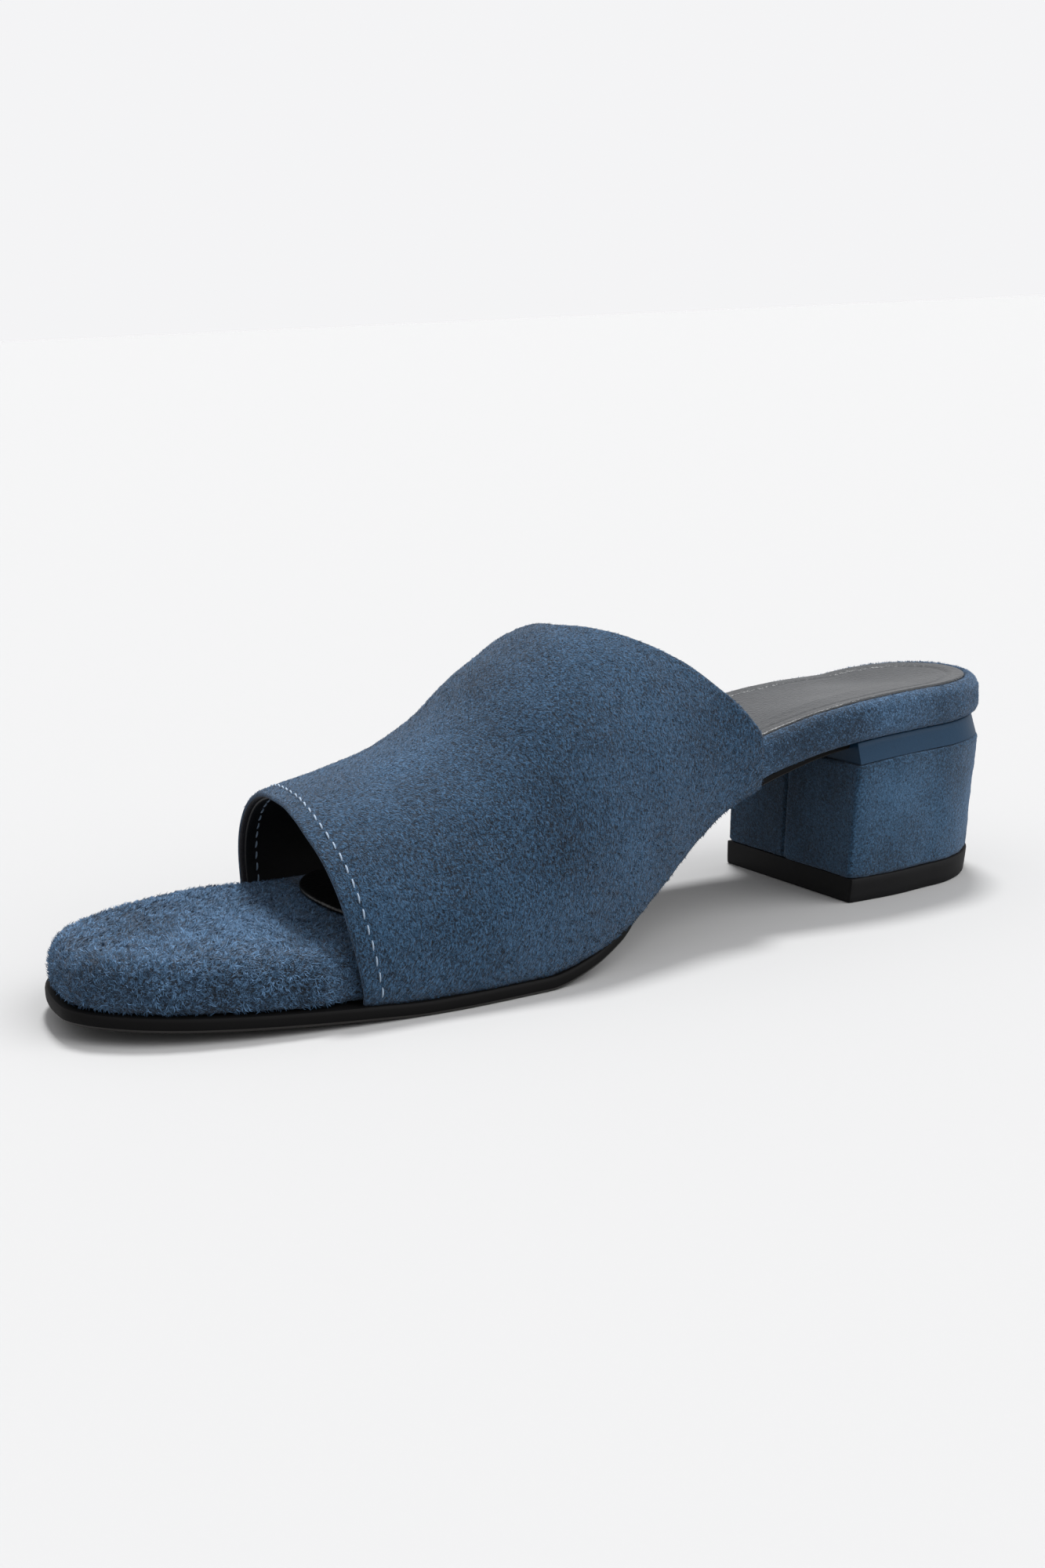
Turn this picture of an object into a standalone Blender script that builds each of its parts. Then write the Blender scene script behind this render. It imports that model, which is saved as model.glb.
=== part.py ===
"""Block heel mule, right shoe.

One wide suede band stands over a padded, suede-wrapped footbed. Below it are a thin black outsole
with a little toe spring, a smooth rand at the seat, a covered block heel and its top piece.

Tables are in millimetres in the last's frame: y runs from the back of the seat (0) to the toe tip,
-X is the medial (inner) side, z is up from the floor. Objects are made in metres, and the whole is
shifted at the end so that the origin is the middle of its base.
"""

import math

import bmesh
import bpy
import numpy as np

MM = 0.001

# ---------------------------------------------------------------- driving sizes (mm)
LENGTH = 250.0            # footbed, back of seat to toe tip
SEAT_HALF = 26.0          # half width of the seat where it is widest
SEAT_DEPTH = 27.7         # how far the round back of the seat reaches
SEAT_POWER = 1.9          # 2 is an ellipse
TOE_TIP_X = -8.0          # the toe's foremost point leans to the medial side
FOOTBED_HEEL = 9.9        # thickness of the wrapped footbed at the seat
FOOTBED_TOE = 10.6        # and at the forefoot
SOLE_WAIST = 1.7          # outsole thickness behind the ball
SOLE_TREAD = 2.9          # outsole thickness under the ball and toe
SOLE_LIP = 1.5            # how far the outsole stands out round the toe
WALL = 2.4                # the band: suede, stiffener and lining
BAND_OUT = 1.0            # the band's outer face stands this far outside the footbed's outline
BAND_LIFT = 0.2           # the band's base over the footbed's underside
TUCK = 2.2                # the footbed steps in this far where the band wraps its edge
TUCK_RAMP = 7.0
GAP = 0.3                 # clearance between neighbouring pieces
RAND = 5.2                # height of the smooth band under the seat
RAND_IN_TOP = 1.9
RAND_IN_BASE = 0.6
BREAST_Y = 55.7           # heel breast at the floor
BREAST_LEAN = 3.2         # the breast stands this much further back at its top
BLOCK_IN_TOP = 0.3        # covered heel, inside the footbed's outline, at its top
BLOCK_IN_BASE = 1.6       # and at its base
BACK_SLANT = 3.6          # the back of the heel comes in this much more towards the floor
TOP_PIECE = 6.0
SOCK = 0.9                # insole lining
SOCK_GAP = 0.95           # over the dished footbed, whose mesh has flat facets
SOCK_SEAT = 1.5           # the footbed's top is this much lower under the sock, so the sock lies level with the rim
SOCK_IN = 3.4
SOCK_FRONT = 186.0        # where the sock ends, under the band
SEAT_CUP = 1.4            # the seat is this much lower in its middle
TOE_CROWN = 1.6           # the toe pad is this much higher in its middle
RIM_TILT = 3.2            # the lateral rim lies lower than the medial one at the seat and waist

# Plan outline of the wrapped footbed, one row a section.
OUTLINE = {
    "y":       [27.7, 42.0, 65.0, 90.0, 103.0, 116.0, 128.0, 140.0, 153.0, 166.0, 190.0, 210.0, 225.0, 237.0, 245.0],
    "medial":  [26.0, 27.2, 26.2, 26.2, 29.0, 33.8, 37.9, 40.4, 41.6, 41.5, 39.3, 35.5, 31.0, 25.2, 18.6],
    "lateral": [26.0, 27.2, 29.6, 31.2, 33.0, 35.7, 38.4, 40.6, 42.2, 42.7, 40.9, 37.0, 31.4, 23.4, 14.8],
}

# Underside of the wrapped footbed. The outsole under it is exactly flat on the floor at the ball,
# rises to the heel breast behind it and has a little spring at the toe.
BED_LINE = {
    "y": [0.0, 20.0, 38.0, 50.0, 60.0, 70.0, 78.0, 90.0, 102.0, 115.0, 128.0, 140.0, 152.0, 166.0, 180.0, 195.0, 220.0, 250.0],
    "z": [40.7, 41.0, 40.9, 40.2, 38.8, 36.6, 34.5, 30.4, 24.1, 16.5, 9.7, 5.4, 3.2, 3.2, 3.2, 4.0, 5.3, 7.0],
}

# The band's cross-sections: height of its ridge, and how full each side is (2 is an ellipse).
BAND = {
    "y":            [60.0, 90.0, 115.0, 127.0, 140.0, 152.0, 165.0, 190.0, 212.0],
    "ridge_z":      [70.0, 71.5, 75.0, 74.0, 67.9, 57.6, 50.0, 43.6, 38.0],
    "ridge_x":      [-0.5, -0.7, -1.0, -1.2, -1.4, -1.6, -1.8, -2.2, -2.5],
    "medial_full":  [2.50, 2.44, 2.30, 2.24, 2.20, 2.20, 2.22, 2.25, 2.26],
    "lateral_full": [2.45, 2.38, 2.18, 2.10, 2.04, 2.12, 2.22, 2.40, 2.45],
}

# The band's two free edges, by how far round the section (0 medial base, 0.5 ridge, 1 lateral base).
EDGES = {
    "round": [0.0, 0.07, 0.13, 0.2, 0.28, 0.36, 0.43, 0.5, 0.57, 0.65, 0.8, 0.93, 1.0],
    "back":  [82.6, 81.6, 84.8, 90.4, 98.2, 109.2, 118.4, 124.0, 124.4, 119.6, 101.2, 87.6, 86.2],
    "front": [195.2, 196.2, 196.9, 197.4, 197.8, 198.0, 197.4, 196.0, 194.2, 192.5, 191.0, 189.2, 188.4],
}

RIM = {   # side of the wrapped footbed, from its underside up to its rim
    "inset":  [5.0, 1.4, 0.3, 0.0, 0.8, 3.0],
    "height": [0.0, 0.03, 0.18, 0.48, 0.82, 1.0],
}
SOLE_EDGE = {"inset": [3.0, 0.4, 0.0, 0.5], "height": [0.0, 0.12, 0.6, 1.0]}
SOCK_EDGE = {"inset": [0.4, 0.0, 0.5], "height": [0.0, 0.4, 1.0]}

ACROSS = 8        # mesh steps across a sole
STATIONS = 34     # mesh steps along one side
BAND_ROUND = 34   # mesh steps round the band
BAND_ALONG = 13   # mesh steps along the band
HEEL_STEPS = 22   # mesh steps round the back of the heel


# ---------------------------------------------------------------- curves
def through(xs, ys, x):
    """Smooth curve through a table's points that never overshoots between them."""
    xs, ys, x = (np.asarray(v, float) for v in (xs, ys, x))
    h = np.diff(xs)
    d = np.diff(ys) / h
    m = np.empty(len(xs))
    m[0], m[-1] = d[0], d[-1]
    for i in range(1, len(xs) - 1):
        if d[i - 1] * d[i] <= 0:
            m[i] = 0.0
        else:
            w1, w2 = 2 * h[i] + h[i - 1], h[i] + 2 * h[i - 1]
            m[i] = (w1 + w2) / (w1 / d[i - 1] + w2 / d[i])
    x = np.clip(x, xs[0], xs[-1])
    i = np.clip(np.searchsorted(xs, x, side="right") - 1, 0, len(h) - 1)
    t = (x - xs[i]) / h[i]
    return (ys[i] * (2 * t**3 - 3 * t**2 + 1) + m[i] * h[i] * (t**3 - 2 * t**2 + t)
            + ys[i + 1] * (3 * t**2 - 2 * t**3) + m[i + 1] * h[i] * (t**3 - t**2))


def half_plan(side, y):
    """x of the footbed's outline on one side. Sections are spaced by the root of the distance from
    the toe tip, so the toe comes out round."""
    y = np.asarray(y, float)
    sign = -1.0 if side == "medial" else 1.0
    rows = [LENGTH] + OUTLINE["y"][::-1]
    root = [math.sqrt(LENGTH - v) for v in rows]
    width = [sign * TOE_TIP_X] + OUTLINE[side][::-1]
    fore = through(root, width, np.sqrt(np.maximum(LENGTH - np.maximum(y, SEAT_DEPTH), 0)))
    back = np.clip((SEAT_DEPTH - y) / SEAT_DEPTH, 0, 1)
    seat = SEAT_HALF * (1 - back**SEAT_POWER) ** (1 / SEAT_POWER)
    return sign * np.where(y < SEAT_DEPTH, seat, fore)


def footbed_thickness(y):
    return np.interp(y, [60.0, 140.0], [FOOTBED_HEEL, FOOTBED_TOE])


def sole_thickness(y):
    return np.interp(y, [112.0, 150.0], [SOLE_WAIST, SOLE_TREAD])


def footbed_under(y):
    return through(BED_LINE["y"], BED_LINE["z"], y)


def sole_under(y):
    return np.maximum(np.round(footbed_under(y) - GAP - sole_thickness(y), 6), 0.0)


def rim_tilt(x, y):
    """How far the rim drops towards the lateral side at the seat and waist."""
    amount = np.interp(y, [4.0, 28.0, 105.0, 140.0], [0.0, RIM_TILT, RIM_TILT, 0.0])
    return amount * np.clip((np.asarray(x, float) + 10.0) / 36.0, 0, 1)


def sock_seat(y):
    return SOCK_SEAT * np.interp(y, [150.0, 178.0], [1.0, 0.0])


def dish(y):
    """Height of the middle of the footbed's top above its rims."""
    return np.interp(y, [0.0, 25.0, 90.0, 150.0, 200.0, 250.0],
                     [0.0, -SEAT_CUP, -0.9, -0.2, TOE_CROWN, 0.9])


# ---------------------------------------------------------------- plan loops
def side_stations(start, end, count):
    u = np.arange(count + 1) / count
    return start + (end - start) * (1 - np.cos(math.pi * u)) / 2


def plan_loop(stations):
    """Closed loop: from the back along the medial side to the front and back along the lateral side."""
    medial = np.column_stack([half_plan("medial", stations), stations])
    lateral = np.column_stack([half_plan("lateral", stations), stations])
    closed_back, closed_front = stations[0] <= 1e-6, stations[-1] >= LENGTH - 1e-6
    first = 1 if closed_back else 0
    last = len(stations) - 1 if closed_front else len(stations)
    return np.vstack([medial, lateral[first:last][::-1]])


def normals(loop):
    """Unit normals in plan, pointing out of the loop."""
    tangent = np.roll(loop, -1, 0) - np.roll(loop, 1, 0)
    tangent /= np.linalg.norm(tangent, axis=1)[:, None]
    return np.column_stack([-tangent[:, 1], tangent[:, 0]])


def moved_in(loop, inset):
    return loop - normals(loop) * np.asarray(inset, float).reshape(-1, 1)


def tuck(loop):
    """The footbed's step inwards where the band wraps over its edge."""
    x, y = loop[:, 0], loop[:, 1]
    back = np.where(x < 0, min(EDGES["back"][:2]), min(EDGES["back"][-2:])) - 2.5
    front = np.where(x < 0, max(EDGES["front"][:2]), max(EDGES["front"][-2:])) + 2.5
    away = np.maximum(np.maximum(back - y, y - front), 0)
    return TUCK * np.clip(1 - away / TUCK_RAMP, 0, 1)


# ---------------------------------------------------------------- solids
def new_object(name, bm, material):
    bmesh.ops.recalc_face_normals(bm, faces=bm.faces[:])
    mesh = bpy.data.meshes.new(name)
    bm.to_mesh(mesh)
    bm.free()
    mesh.shade_smooth()
    mesh.set_sharp_from_angle(angle=math.radians(38))
    mesh.materials.append(material)
    obj = bpy.data.objects.new(name, mesh)
    bpy.context.scene.collection.objects.link(obj)
    return obj


def ring(bm, xy, z):
    return [bm.verts.new((x * MM, y * MM, h * MM)) for (x, y), h in zip(xy, z)]


def join_rings(bm, lower, upper):
    for i in range(len(lower)):
        j = (i + 1) % len(lower)
        bm.faces.new((lower[i], lower[j], upper[j], upper[i]))


def fill_across(bm, verts, stations, tip_back, tip_front, height):
    """Covers a loop with strips that join its medial to its lateral side. height(x, y, f) gives z of the
    inner points, with f from 0 on the medial rim to 1 on the lateral one."""
    count = stations - 1
    rows = []
    for row in range(stations):
        left = verts[row]
        if (row == 0 and tip_back) or (row == count and tip_front):
            rows.append([left])
            continue
        right = verts[len(verts) - row - (0 if tip_back else 1)]
        a, b = left.co / MM, right.co / MM
        line = [left]
        for k in range(1, ACROSS):
            f = k / ACROSS
            x, y = a.x + (b.x - a.x) * f, a.y + (b.y - a.y) * f
            line.append(bm.verts.new((x * MM, y * MM, height(x, y, f, a.z, b.z) * MM)))
        rows.append(line + [right])
    for a, b in zip(rows, rows[1:]):
        if len(a) == 1:
            for k in range(len(b) - 1):
                bm.faces.new((a[0], b[k], b[k + 1]))
        elif len(b) == 1:
            for k in range(len(a) - 1):
                bm.faces.new((a[k + 1], a[k], b[0]))
        else:
            for k in range(len(a) - 1):
                bm.faces.new((a[k], b[k], b[k + 1], a[k + 1]))


def straight(x, y, f, za, zb):
    return za + (zb - za) * f


def crowned(amount):
    """Height rule for a top that is dished or domed between its rims."""
    def height(x, y, f, za, zb):
        return za + (zb - za) * f + float(amount(y)) * math.sin(math.pi * f) ** 0.8
    return height


def make_footbed(material):
    stations = side_stations(0.0, LENGTH, STATIONS)
    loop = plan_loop(stations)
    base = moved_in(loop, tuck(loop))
    bm = bmesh.new()
    rings = []
    for inset, height in zip(RIM["inset"], RIM["height"]):
        xy = moved_in(base, inset)
        low = footbed_under(xy[:, 1])
        z = low + height * (footbed_thickness(xy[:, 1]) - rim_tilt(xy[:, 0], xy[:, 1]))
        rings.append(ring(bm, xy, z))
    xy = moved_in(base, SOCK_IN + 0.2)
    z = footbed_under(xy[:, 1]) + footbed_thickness(xy[:, 1]) - rim_tilt(xy[:, 0], xy[:, 1]) - sock_seat(xy[:, 1])
    rings.append(ring(bm, xy, z))
    for a, b in zip(rings, rings[1:]):
        join_rings(bm, a, b)
    fill_across(bm, rings[0], len(stations), True, True,
                lambda x, y, f, za, zb: float(footbed_under(y)))
    fill_across(bm, rings[-1], len(stations), True, True, crowned(dish))
    return new_object("footbed", bm, material)


def make_sock(material):
    """The sock lies on the footbed's top, from the seat to its round front edge under the band."""
    stations = side_stations(0.0, LENGTH, 64)
    loop = plan_loop(stations)
    base = moved_in(moved_in(loop, tuck(loop)), SOCK_IN + 0.6)
    count = len(stations)
    medial = base[:count]
    lateral = np.vstack([base[:1], base[count:][::-1], base[count - 1:count]])
    rows = side_stations(float(base[0, 1]), SOCK_FRONT, 28)
    round_off = 26.0   # length of the sock's rounded front
    shrink = np.sqrt(np.clip(1 - (np.clip(rows - (SOCK_FRONT - round_off), 0, None) / round_off) ** 2.6, 0, 1))
    left = np.interp(rows, medial[:, 1], medial[:, 0])
    right = np.interp(rows, lateral[:, 1], lateral[:, 0])
    middle = (left + right) / 2
    left, right = middle + (left - middle) * shrink, middle + (right - middle) * shrink
    outline = np.vstack([np.column_stack([left, rows]), np.column_stack([right, rows])[1:-1][::-1]])
    bm = bmesh.new()

    def bed(x, y):
        """Top of the footbed under the sock."""
        lo, hi = (float(half_plan(s, y)) for s in ("medial", "lateral"))
        rim = float(footbed_under(y)) + float(footbed_thickness(y)) - float(sock_seat(y))
        in_from_rim = SOCK_IN
        f = min(max((x - lo - in_from_rim) / max(hi - lo - 2 * in_from_rim, 1.0), 0.0), 1.0)
        return rim - float(rim_tilt(x, y)) + float(dish(y)) * math.sin(math.pi * f) ** 0.8

    rings = []
    for inset, height in zip(SOCK_EDGE["inset"], SOCK_EDGE["height"]):
        xy = moved_in(outline, inset)
        z = [bed(x, y) + SOCK_GAP + SOCK * height for x, y in xy]
        rings.append(ring(bm, xy, z))
    for a, b in zip(rings, rings[1:]):
        join_rings(bm, a, b)
    fill_across(bm, rings[0], len(rows), True, True, lambda x, y, f, za, zb: bed(x, y) + SOCK_GAP)
    fill_across(bm, rings[-1], len(rows), True, True, lambda x, y, f, za, zb: bed(x, y) + SOCK_GAP + SOCK)
    return new_object("insole_sock", bm, material)


def sole_lip(y):
    return np.interp(y, [56.0, 82.0, 118.0, 129.0, 142.0, 175.0], [-5.0, -4.4, -4.0, -0.6, 1.1, SOLE_LIP])


def make_outsole(material):
    start = BREAST_Y - BREAST_LEAN + GAP
    u = np.arange(STATIONS + 1) / STATIONS
    stations = start + (LENGTH - start) * np.sin(u * math.pi / 2)
    flat = np.array([152.0, 166.0, 180.0])   # sections where the tread meets the floor
    stations = np.sort(np.concatenate([stations[np.min(np.abs(stations[:, None] - flat), axis=1) > 2.0], flat]))
    loop = plan_loop(stations)
    n = normals(loop)
    count = len(stations)
    n[0], n[-1] = (-1.0, 0.0), (1.0, 0.0)      # the square back end
    lip = sole_lip(loop[:, 1])
    ends = np.zeros(len(loop), bool)
    ends[[0, -1]] = True
    bm = bmesh.new()
    rings = []
    for inset, height in zip(SOLE_EDGE["inset"], SOLE_EDGE["height"]):
        xy = loop + n * (lip - inset)[:, None]
        xy[ends, 1] = start
        z = sole_under(xy[:, 1]) + height * sole_thickness(xy[:, 1])
        z = np.where(xy[:, 1] > LENGTH - 0.01, float(sole_under(LENGTH)) + height * SOLE_TREAD, z)
        rings.append(ring(bm, xy, z))
    for a, b in zip(rings, rings[1:]):
        for i in range(len(a) - 1):
            bm.faces.new((a[i], a[i + 1], b[i + 1], b[i]))
    before = set(bm.verts)
    fill_across(bm, rings[0], count, False, True, straight)
    fill_across(bm, rings[-1], count, False, True, straight)
    # Square back end, between the two rows that the covers left there.
    made = [v for v in bm.verts if v not in before and abs(v.co.y - start * MM) < 1e-7]
    low = sorted((v for v in made if v.co.z < (float(sole_under(start)) + 0.5 * SOLE_WAIST) * MM), key=lambda v: v.co.x)
    high = sorted((v for v in made if v not in low), key=lambda v: v.co.x)
    bottom = [rings[0][0], *low, rings[0][-1]]
    top = [rings[-1][0], *high, rings[-1][-1]]
    left = [r[0] for r in rings]
    right = [r[-1] for r in rings]
    bm.faces.new((*left[:0:-1], left[0], bottom[1], top[1]))
    for k in range(1, len(bottom) - 2):
        bm.faces.new((bottom[k], bottom[k + 1], top[k + 1], top[k]))
    bm.faces.new((bottom[-2], *right, top[-2]))
    bmesh.ops.triangulate(bm, faces=[f for f in bm.faces if len(f.verts) > 4])
    return new_object("outsole", bm, material)


# ---------------------------------------------------------------- the band
def band_point(round_, y):
    """Outer face of the band, round_ from 0 at the medial base over the ridge to 1 at the lateral base."""
    y = np.asarray(y, float)
    base = footbed_under(y) + BAND_LIFT
    ridge = through(BAND["y"], BAND["ridge_z"], y)
    middle = through(BAND["y"], BAND["ridge_x"], y)
    left = half_plan("medial", y) - BAND_OUT
    right = half_plan("lateral", y) + BAND_OUT
    angle = math.pi * np.asarray(round_, float)
    full = np.where(angle < math.pi / 2, through(BAND["y"], BAND["medial_full"], y),
                    through(BAND["y"], BAND["lateral_full"], y))
    reach = np.where(angle < math.pi / 2, left - middle, right - middle)
    x = middle + reach * np.abs(np.cos(angle)) ** (2 / full)
    z = base + (ridge - base) * np.abs(np.sin(angle)) ** (2 / full)
    return np.stack([x, y + 0 * x, z], -1)


def band_normal(round_, y):
    e, d = 1e-3, 0.2
    a = np.clip(np.asarray(round_, float), 2 * e, 1 - 2 * e)
    across = band_point(a + e, y) - band_point(a - e, y)
    along = band_point(a, y + d) - band_point(a, y - d)
    n = np.cross(across, along)
    n /= np.linalg.norm(n, axis=-1)[..., None]
    outward = n * np.sign(n[..., 2:3] + 1e-9)
    side = np.abs(n[..., 2:3]) < 0.35
    lean = np.where(np.asarray(round_)[..., None] < 0.5, -1.0, 1.0)
    return np.where(side, n * np.sign(n[..., 0:1] * lean), outward)


def make_upper(material):
    rounds = np.linspace(0.0, 1.0, BAND_ROUND + 1)
    back = through(EDGES["round"], EDGES["back"], rounds)
    front = through(EDGES["round"], EDGES["front"], rounds)
    share = np.linspace(0.0, 1.0, BAND_ALONG + 1)
    r, t = np.meshgrid(rounds, share, indexing="ij")
    y = back[:, None] + (front - back)[:, None] * t
    outer = band_point(r, y)
    n = band_normal(r, y)
    n[0, :] = (-1.0, 0.0, 0.0)
    n[-1, :] = (1.0, 0.0, 0.0)
    inner = outer - n * WALL
    inner[[0, -1], :, 2] = outer[[0, -1], :, 2]
    bm = bmesh.new()
    skin = [[[bm.verts.new(tuple(p * MM)) for p in row] for row in face] for face in (outer, inner)]
    out, inn = skin
    for i in range(BAND_ROUND):
        for j in range(BAND_ALONG):
            bm.faces.new((out[i][j], out[i][j + 1], out[i + 1][j + 1], out[i + 1][j]))
            bm.faces.new((inn[i][j], inn[i + 1][j], inn[i + 1][j + 1], inn[i][j + 1]))
        bm.faces.new((out[i][0], out[i + 1][0], inn[i + 1][0], inn[i][0]))
        bm.faces.new((out[i + 1][-1], out[i][-1], inn[i][-1], inn[i + 1][-1]))
    for j in range(BAND_ALONG):
        bm.faces.new((out[0][j + 1], out[0][j], inn[0][j], inn[0][j + 1]))
        bm.faces.new((out[-1][j], out[-1][j + 1], inn[-1][j + 1], inn[-1][j]))
    return new_object("upper", bm, material)


# ---------------------------------------------------------------- the heel
def heel_loop(inset, breast, slant):
    """D shape: round back, flat breast. slant moves the back forwards."""
    u = np.arange(HEEL_STEPS + 1) / HEEL_STEPS
    y = breast * (1 - np.cos(math.pi / 2 * u))                # spaced finely at the back
    medial = np.column_stack([half_plan("medial", y), y])
    lateral = np.column_stack([half_plan("lateral", y), y])
    arc = np.vstack([medial[::-1], lateral[1:]])              # medial corner, round the back, lateral corner
    t = np.gradient(arc, axis=0)
    t /= np.linalg.norm(t, axis=1)[:, None]
    out = np.column_stack([t[:, 1], -t[:, 0]])
    out *= np.sign((out * (arc - [0, breast / 2])).sum(1))[:, None]
    arc = arc - out * inset
    arc[[0, -1], 1] = breast
    arc[:, 1] += slant * (1 - arc[:, 1] / breast)
    return arc


def make_heel_solid(name, levels, material):
    """levels: rows of (inset, breast y, slant, z rule)."""
    bm = bmesh.new()
    rings = []
    for inset, breast, slant, z in levels:
        xy = heel_loop(inset, breast, slant)
        rings.append(ring(bm, xy, [z(y) for _, y in xy]))
    for a, b in zip(rings, rings[1:]):
        join_rings(bm, a, b)
    for verts in (rings[0], rings[-1]):
        for i in range(HEEL_STEPS):
            a, b = verts[i], verts[i + 1]
            c, d = verts[len(verts) - 2 - i], verts[len(verts) - 1 - i]
            bm.faces.new((a, b, c, d) if b is not c else (a, b, d))
    return new_object(name, bm, material)


def rand_top(y):
    return float(footbed_under(y)) - GAP


def rand_base(y):
    return rand_top(y) - RAND


def block_top(y):
    return rand_base(y) - GAP


def lean_at(z):
    """Breast position at a height."""
    return BREAST_Y - BREAST_LEAN * min(max(z / 34.0, 0.0), 1.0)


def share_in(z):
    return min(max(z / 34.0, 0.0), 1.0)


def block_level(z_or_rule, share, extra=0.0):
    inset = BLOCK_IN_BASE + (BLOCK_IN_TOP - BLOCK_IN_BASE) * share + extra
    rule = z_or_rule if callable(z_or_rule) else (lambda y: z_or_rule)
    return (inset, lean_at(34.0 * share) - extra, BACK_SLANT * (1 - share), rule)


def make_heel(block_material, rand_material, rubber_material):
    base = TOP_PIECE + GAP
    make_heel_solid("heel_block", [
        block_level(base, share_in(base), 0.5),
        block_level(base + 0.6, share_in(base)),
        block_level(20.0, share_in(20.0)),
        block_level(lambda y: block_top(y) - 0.8, 1.0),
        block_level(block_top, 1.0, 0.7),
    ], block_material)
    make_heel_solid("heel_rand", [
        (RAND_IN_BASE, lean_at(34.0), 0.0, rand_base),
        (RAND_IN_TOP, lean_at(34.0), 0.0, rand_top),
    ], rand_material)
    make_heel_solid("top_piece", [
        block_level(0.0, 0.0, 0.5),
        block_level(0.5, 0.0),
        block_level(TOP_PIECE - 0.4, share_in(TOP_PIECE)),
        block_level(TOP_PIECE, share_in(TOP_PIECE), 0.3),
    ], rubber_material)


# ---------------------------------------------------------------- materials
def principled(name, colour, roughness, metallic=0.0):
    material = bpy.data.materials.new(name)
    material.use_nodes = True
    shader = material.node_tree.nodes["Principled BSDF"]
    shader.inputs["Base Color"].default_value = (*colour, 1.0)
    shader.inputs["Roughness"].default_value = roughness
    shader.inputs["Metallic"].default_value = metallic
    material.diffuse_color = (*colour, 1.0)
    return material


def centre_on_base(objects):
    """Moves every mesh so that the origin is the middle of the whole object's base."""
    low = np.full(3, np.inf)
    high = np.full(3, -np.inf)
    for obj in objects:
        co = np.array([v.co[:] for v in obj.data.vertices])
        low, high = np.minimum(low, co.min(0)), np.maximum(high, co.max(0))
    shift = -(low + high) / 2
    shift[2] = 0.0
    for obj in objects:
        for v in obj.data.vertices:
            v.co.x += shift[0]
            v.co.y += shift[1]
    print("origin shift in mm:", np.round(shift * 1000, 4), "size in mm:", np.round((high - low) * 1000, 2))


def main():
    for obj in list(bpy.data.objects):
        bpy.data.objects.remove(obj, do_unlink=True)
    suede = principled("blue_suede", (0.045, 0.085, 0.145), 0.95)
    bed_suede = principled("footbed_suede", (0.055, 0.105, 0.17), 0.95)
    heel_suede = principled("heel_suede", (0.05, 0.095, 0.155), 0.93)
    smooth = principled("smooth_blue_leather", (0.03, 0.06, 0.10), 0.45)
    sock = principled("grey_sock_leather", (0.05, 0.055, 0.062), 0.42)
    rubber = principled("black_rubber", (0.012, 0.012, 0.013), 0.6)
    sole = principled("black_outsole", (0.012, 0.011, 0.011), 0.55)
    make_outsole(sole)
    make_footbed(bed_suede)
    make_sock(sock)
    make_upper(suede)
    make_heel(heel_suede, smooth, rubber)
    centre_on_base(list(bpy.data.objects))


main()
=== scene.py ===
"""Block heel mule, right shoe: the visible surfaces, the stage and the camera.

Tables are in millimetres in the last's frame (y from the back of the seat to the toe, -X medial, z up);
SHIFT takes them to the part's frame, whose origin is the middle of the base. The soft forms are modelled
directly: swept and offset grids, with troughs, swells and nap moved in code.
"""

import math

import bpy
import numpy as np
from mathutils import Matrix


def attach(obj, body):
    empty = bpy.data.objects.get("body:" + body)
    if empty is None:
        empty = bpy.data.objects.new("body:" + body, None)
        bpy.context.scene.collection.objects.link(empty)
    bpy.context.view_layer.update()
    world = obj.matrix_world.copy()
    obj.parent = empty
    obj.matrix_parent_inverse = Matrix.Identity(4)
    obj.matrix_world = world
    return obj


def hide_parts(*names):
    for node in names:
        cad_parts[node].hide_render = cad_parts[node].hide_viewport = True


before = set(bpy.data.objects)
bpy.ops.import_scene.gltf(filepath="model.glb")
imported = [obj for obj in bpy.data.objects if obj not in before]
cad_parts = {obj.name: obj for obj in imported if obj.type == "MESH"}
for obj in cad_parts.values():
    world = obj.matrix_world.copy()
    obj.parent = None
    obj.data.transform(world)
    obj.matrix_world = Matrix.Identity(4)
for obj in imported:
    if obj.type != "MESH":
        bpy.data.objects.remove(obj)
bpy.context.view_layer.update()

MM = 0.001
SHIFT = np.array([-0.6001, -125.75, 0.0])

# ---------------------------------------------------------------- sizes, as in the part (mm)
LENGTH = 250.0
SEAT_HALF = 26.0
SEAT_DEPTH = 27.7
SEAT_POWER = 1.9
TOE_TIP_X = -8.0
FOOTBED_HEEL = 9.9
FOOTBED_TOE = 10.6
SOLE_WAIST = 1.7
SOLE_TREAD = 2.9
SOLE_LIP = 1.5
BAND_OUT = 1.0
BAND_LIFT = 0.2
TUCK = 2.2
TUCK_RAMP = 7.0
BACK_RAMP = 28.0         # behind the band the wrap comes out slowly to the full outline
GAP = 0.3
RAND = 5.2
BREAST_Y = 55.7
BREAST_LEAN = 3.2
BLOCK_IN_TOP = 0.3
BLOCK_IN_BASE = 1.6
BACK_SLANT = 3.6
TOP_PIECE = 6.0
SOCK_SEAT = 1.5
SOCK_IN = 3.4
SOCK_FRONT = 186.0
SEAT_CUP = 1.4
TOE_CROWN = 1.6
RIM_TILT = 3.2

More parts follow.
